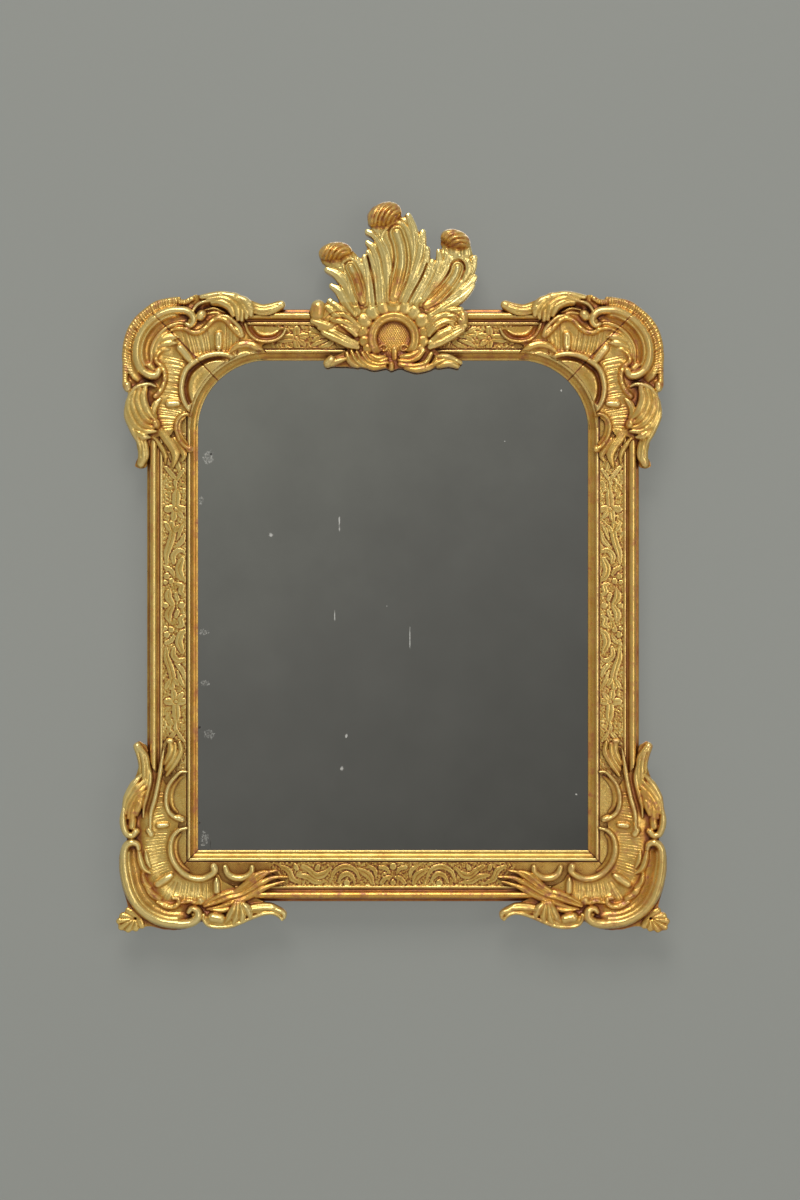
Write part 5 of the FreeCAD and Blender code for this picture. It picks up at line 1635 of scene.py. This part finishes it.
def floor_material():
    material, tree, shader = new_material("pale_floor")
    feed(tree, shader, Base_Color=FLOOR_GREY, Roughness=0.7)
    return material


def wall_material():
    """Grey wall for the camera in front of it; other rays pass through."""
    material, tree, shader = new_material("grey_wall")
    feed(tree, shader, Base_Color=WALL_GREY, Emission_Color=WALL_GLOW, Emission_Strength=1.0, Roughness=0.9)
    rays = add_node(tree, "ShaderNodeLightPath")
    side = add_node(tree, "ShaderNodeNewGeometry")
    front = sums(tree, "SUBTRACT", rays.outputs["Is Camera Ray"], side.outputs["Backfacing"])
    clear = add_node(tree, "ShaderNodeBsdfTransparent")
    chosen = add_node(tree, "ShaderNodeMixShader", _0=front, _1=clear.outputs[0], _2=shader.outputs[0])
    feed(tree, tree.nodes["Material Output"], Surface=chosen.outputs[0])
    return material


def add_stage():
    """Pale floor, a grey wall that only shows from the front, and a grey world."""
    bpy.ops.mesh.primitive_plane_add(size=PLANE_SIZE, location=(0, -4.49, FLOOR_Z))
    floor = bpy.context.object
    floor.name = "floor"
    floor.data.materials.append(floor_material())
    bpy.ops.mesh.primitive_plane_add(
        size=PLANE_SIZE, location=(0, WALL_Y, FLOOR_Z + PLANE_SIZE / 2), rotation=(math.radians(90), 0, 0),
    )
    wall = bpy.context.object
    wall.name = "wall"
    wall.data.materials.append(wall_material())
    world = bpy.data.worlds.new("studio")
    bpy.context.scene.world = world
    world.use_nodes = True
    tree = world.node_tree
    tree.nodes.clear()
    rays = add_node(tree, "ShaderNodeLightPath")
    seen = add_node(tree, "ShaderNodeBackground", Color=SEEN_GREY, Strength=1.0)
    lit = add_node(tree, "ShaderNodeBackground", Color=(*LAMP_WHITE, 1), Strength=0.32)
    glossy = sums(tree, "MAXIMUM", rays.outputs["Is Camera Ray"], rays.outputs["Is Glossy Ray"])
    glossy = sums(tree, "MAXIMUM", glossy, rays.outputs["Is Transmission Ray"])
    chosen = add_node(tree, "ShaderNodeMixShader", _0=glossy, _1=lit.outputs[0], _2=seen.outputs[0])
    add_node(tree, "ShaderNodeOutputWorld", _0=chosen.outputs[0])


def add_area(name, place, size, power, colour):
    """Hangs a soft square lamp aimed at the middle of the mirror."""
    data = bpy.data.lights.new(name, "AREA")
    data.size = size
    data.energy = power
    data.color = colour
    lamp = bpy.data.objects.new(name, data)
    bpy.context.scene.collection.objects.link(lamp)
    lamp.location = place
    lamp.rotation_mode = "QUATERNION"
    lamp.rotation_quaternion = (Vector(place) - Vector(AIM)).to_track_quat("Z", "Y")


def add_camera():
    """Stands straight in front, far off, as the photograph was taken."""
    data = bpy.data.cameras.new("camera")
    data.sensor_width = 36
    data.lens = 92.3
    camera = bpy.data.objects.new("camera", data)
    bpy.context.scene.collection.objects.link(camera)
    camera.location = (0.0091, -4.03, -0.358)
    camera.rotation_euler = (math.radians(90), 0, 0)
    bpy.context.scene.camera = camera


AIM = (0, -0.03, -0.3)
add_stage()
add_area("key", (-0.6, -4.4, 4.3), 3.0, 268, (1.0, 0.98, 0.94))
add_area("top", (0.3, -1.3, 3.2), 2.0, 14, LAMP_WHITE)
add_area("fill", (2.8, -4.6, 0.0), 2.4, 46, (1.0, 0.97, 0.92))
add_area("back_fill", (0.6, 2.4, 0.8), 1.8, 14, LAMP_WHITE)
add_camera()
bpy.context.scene.view_settings.view_transform = "Standard"
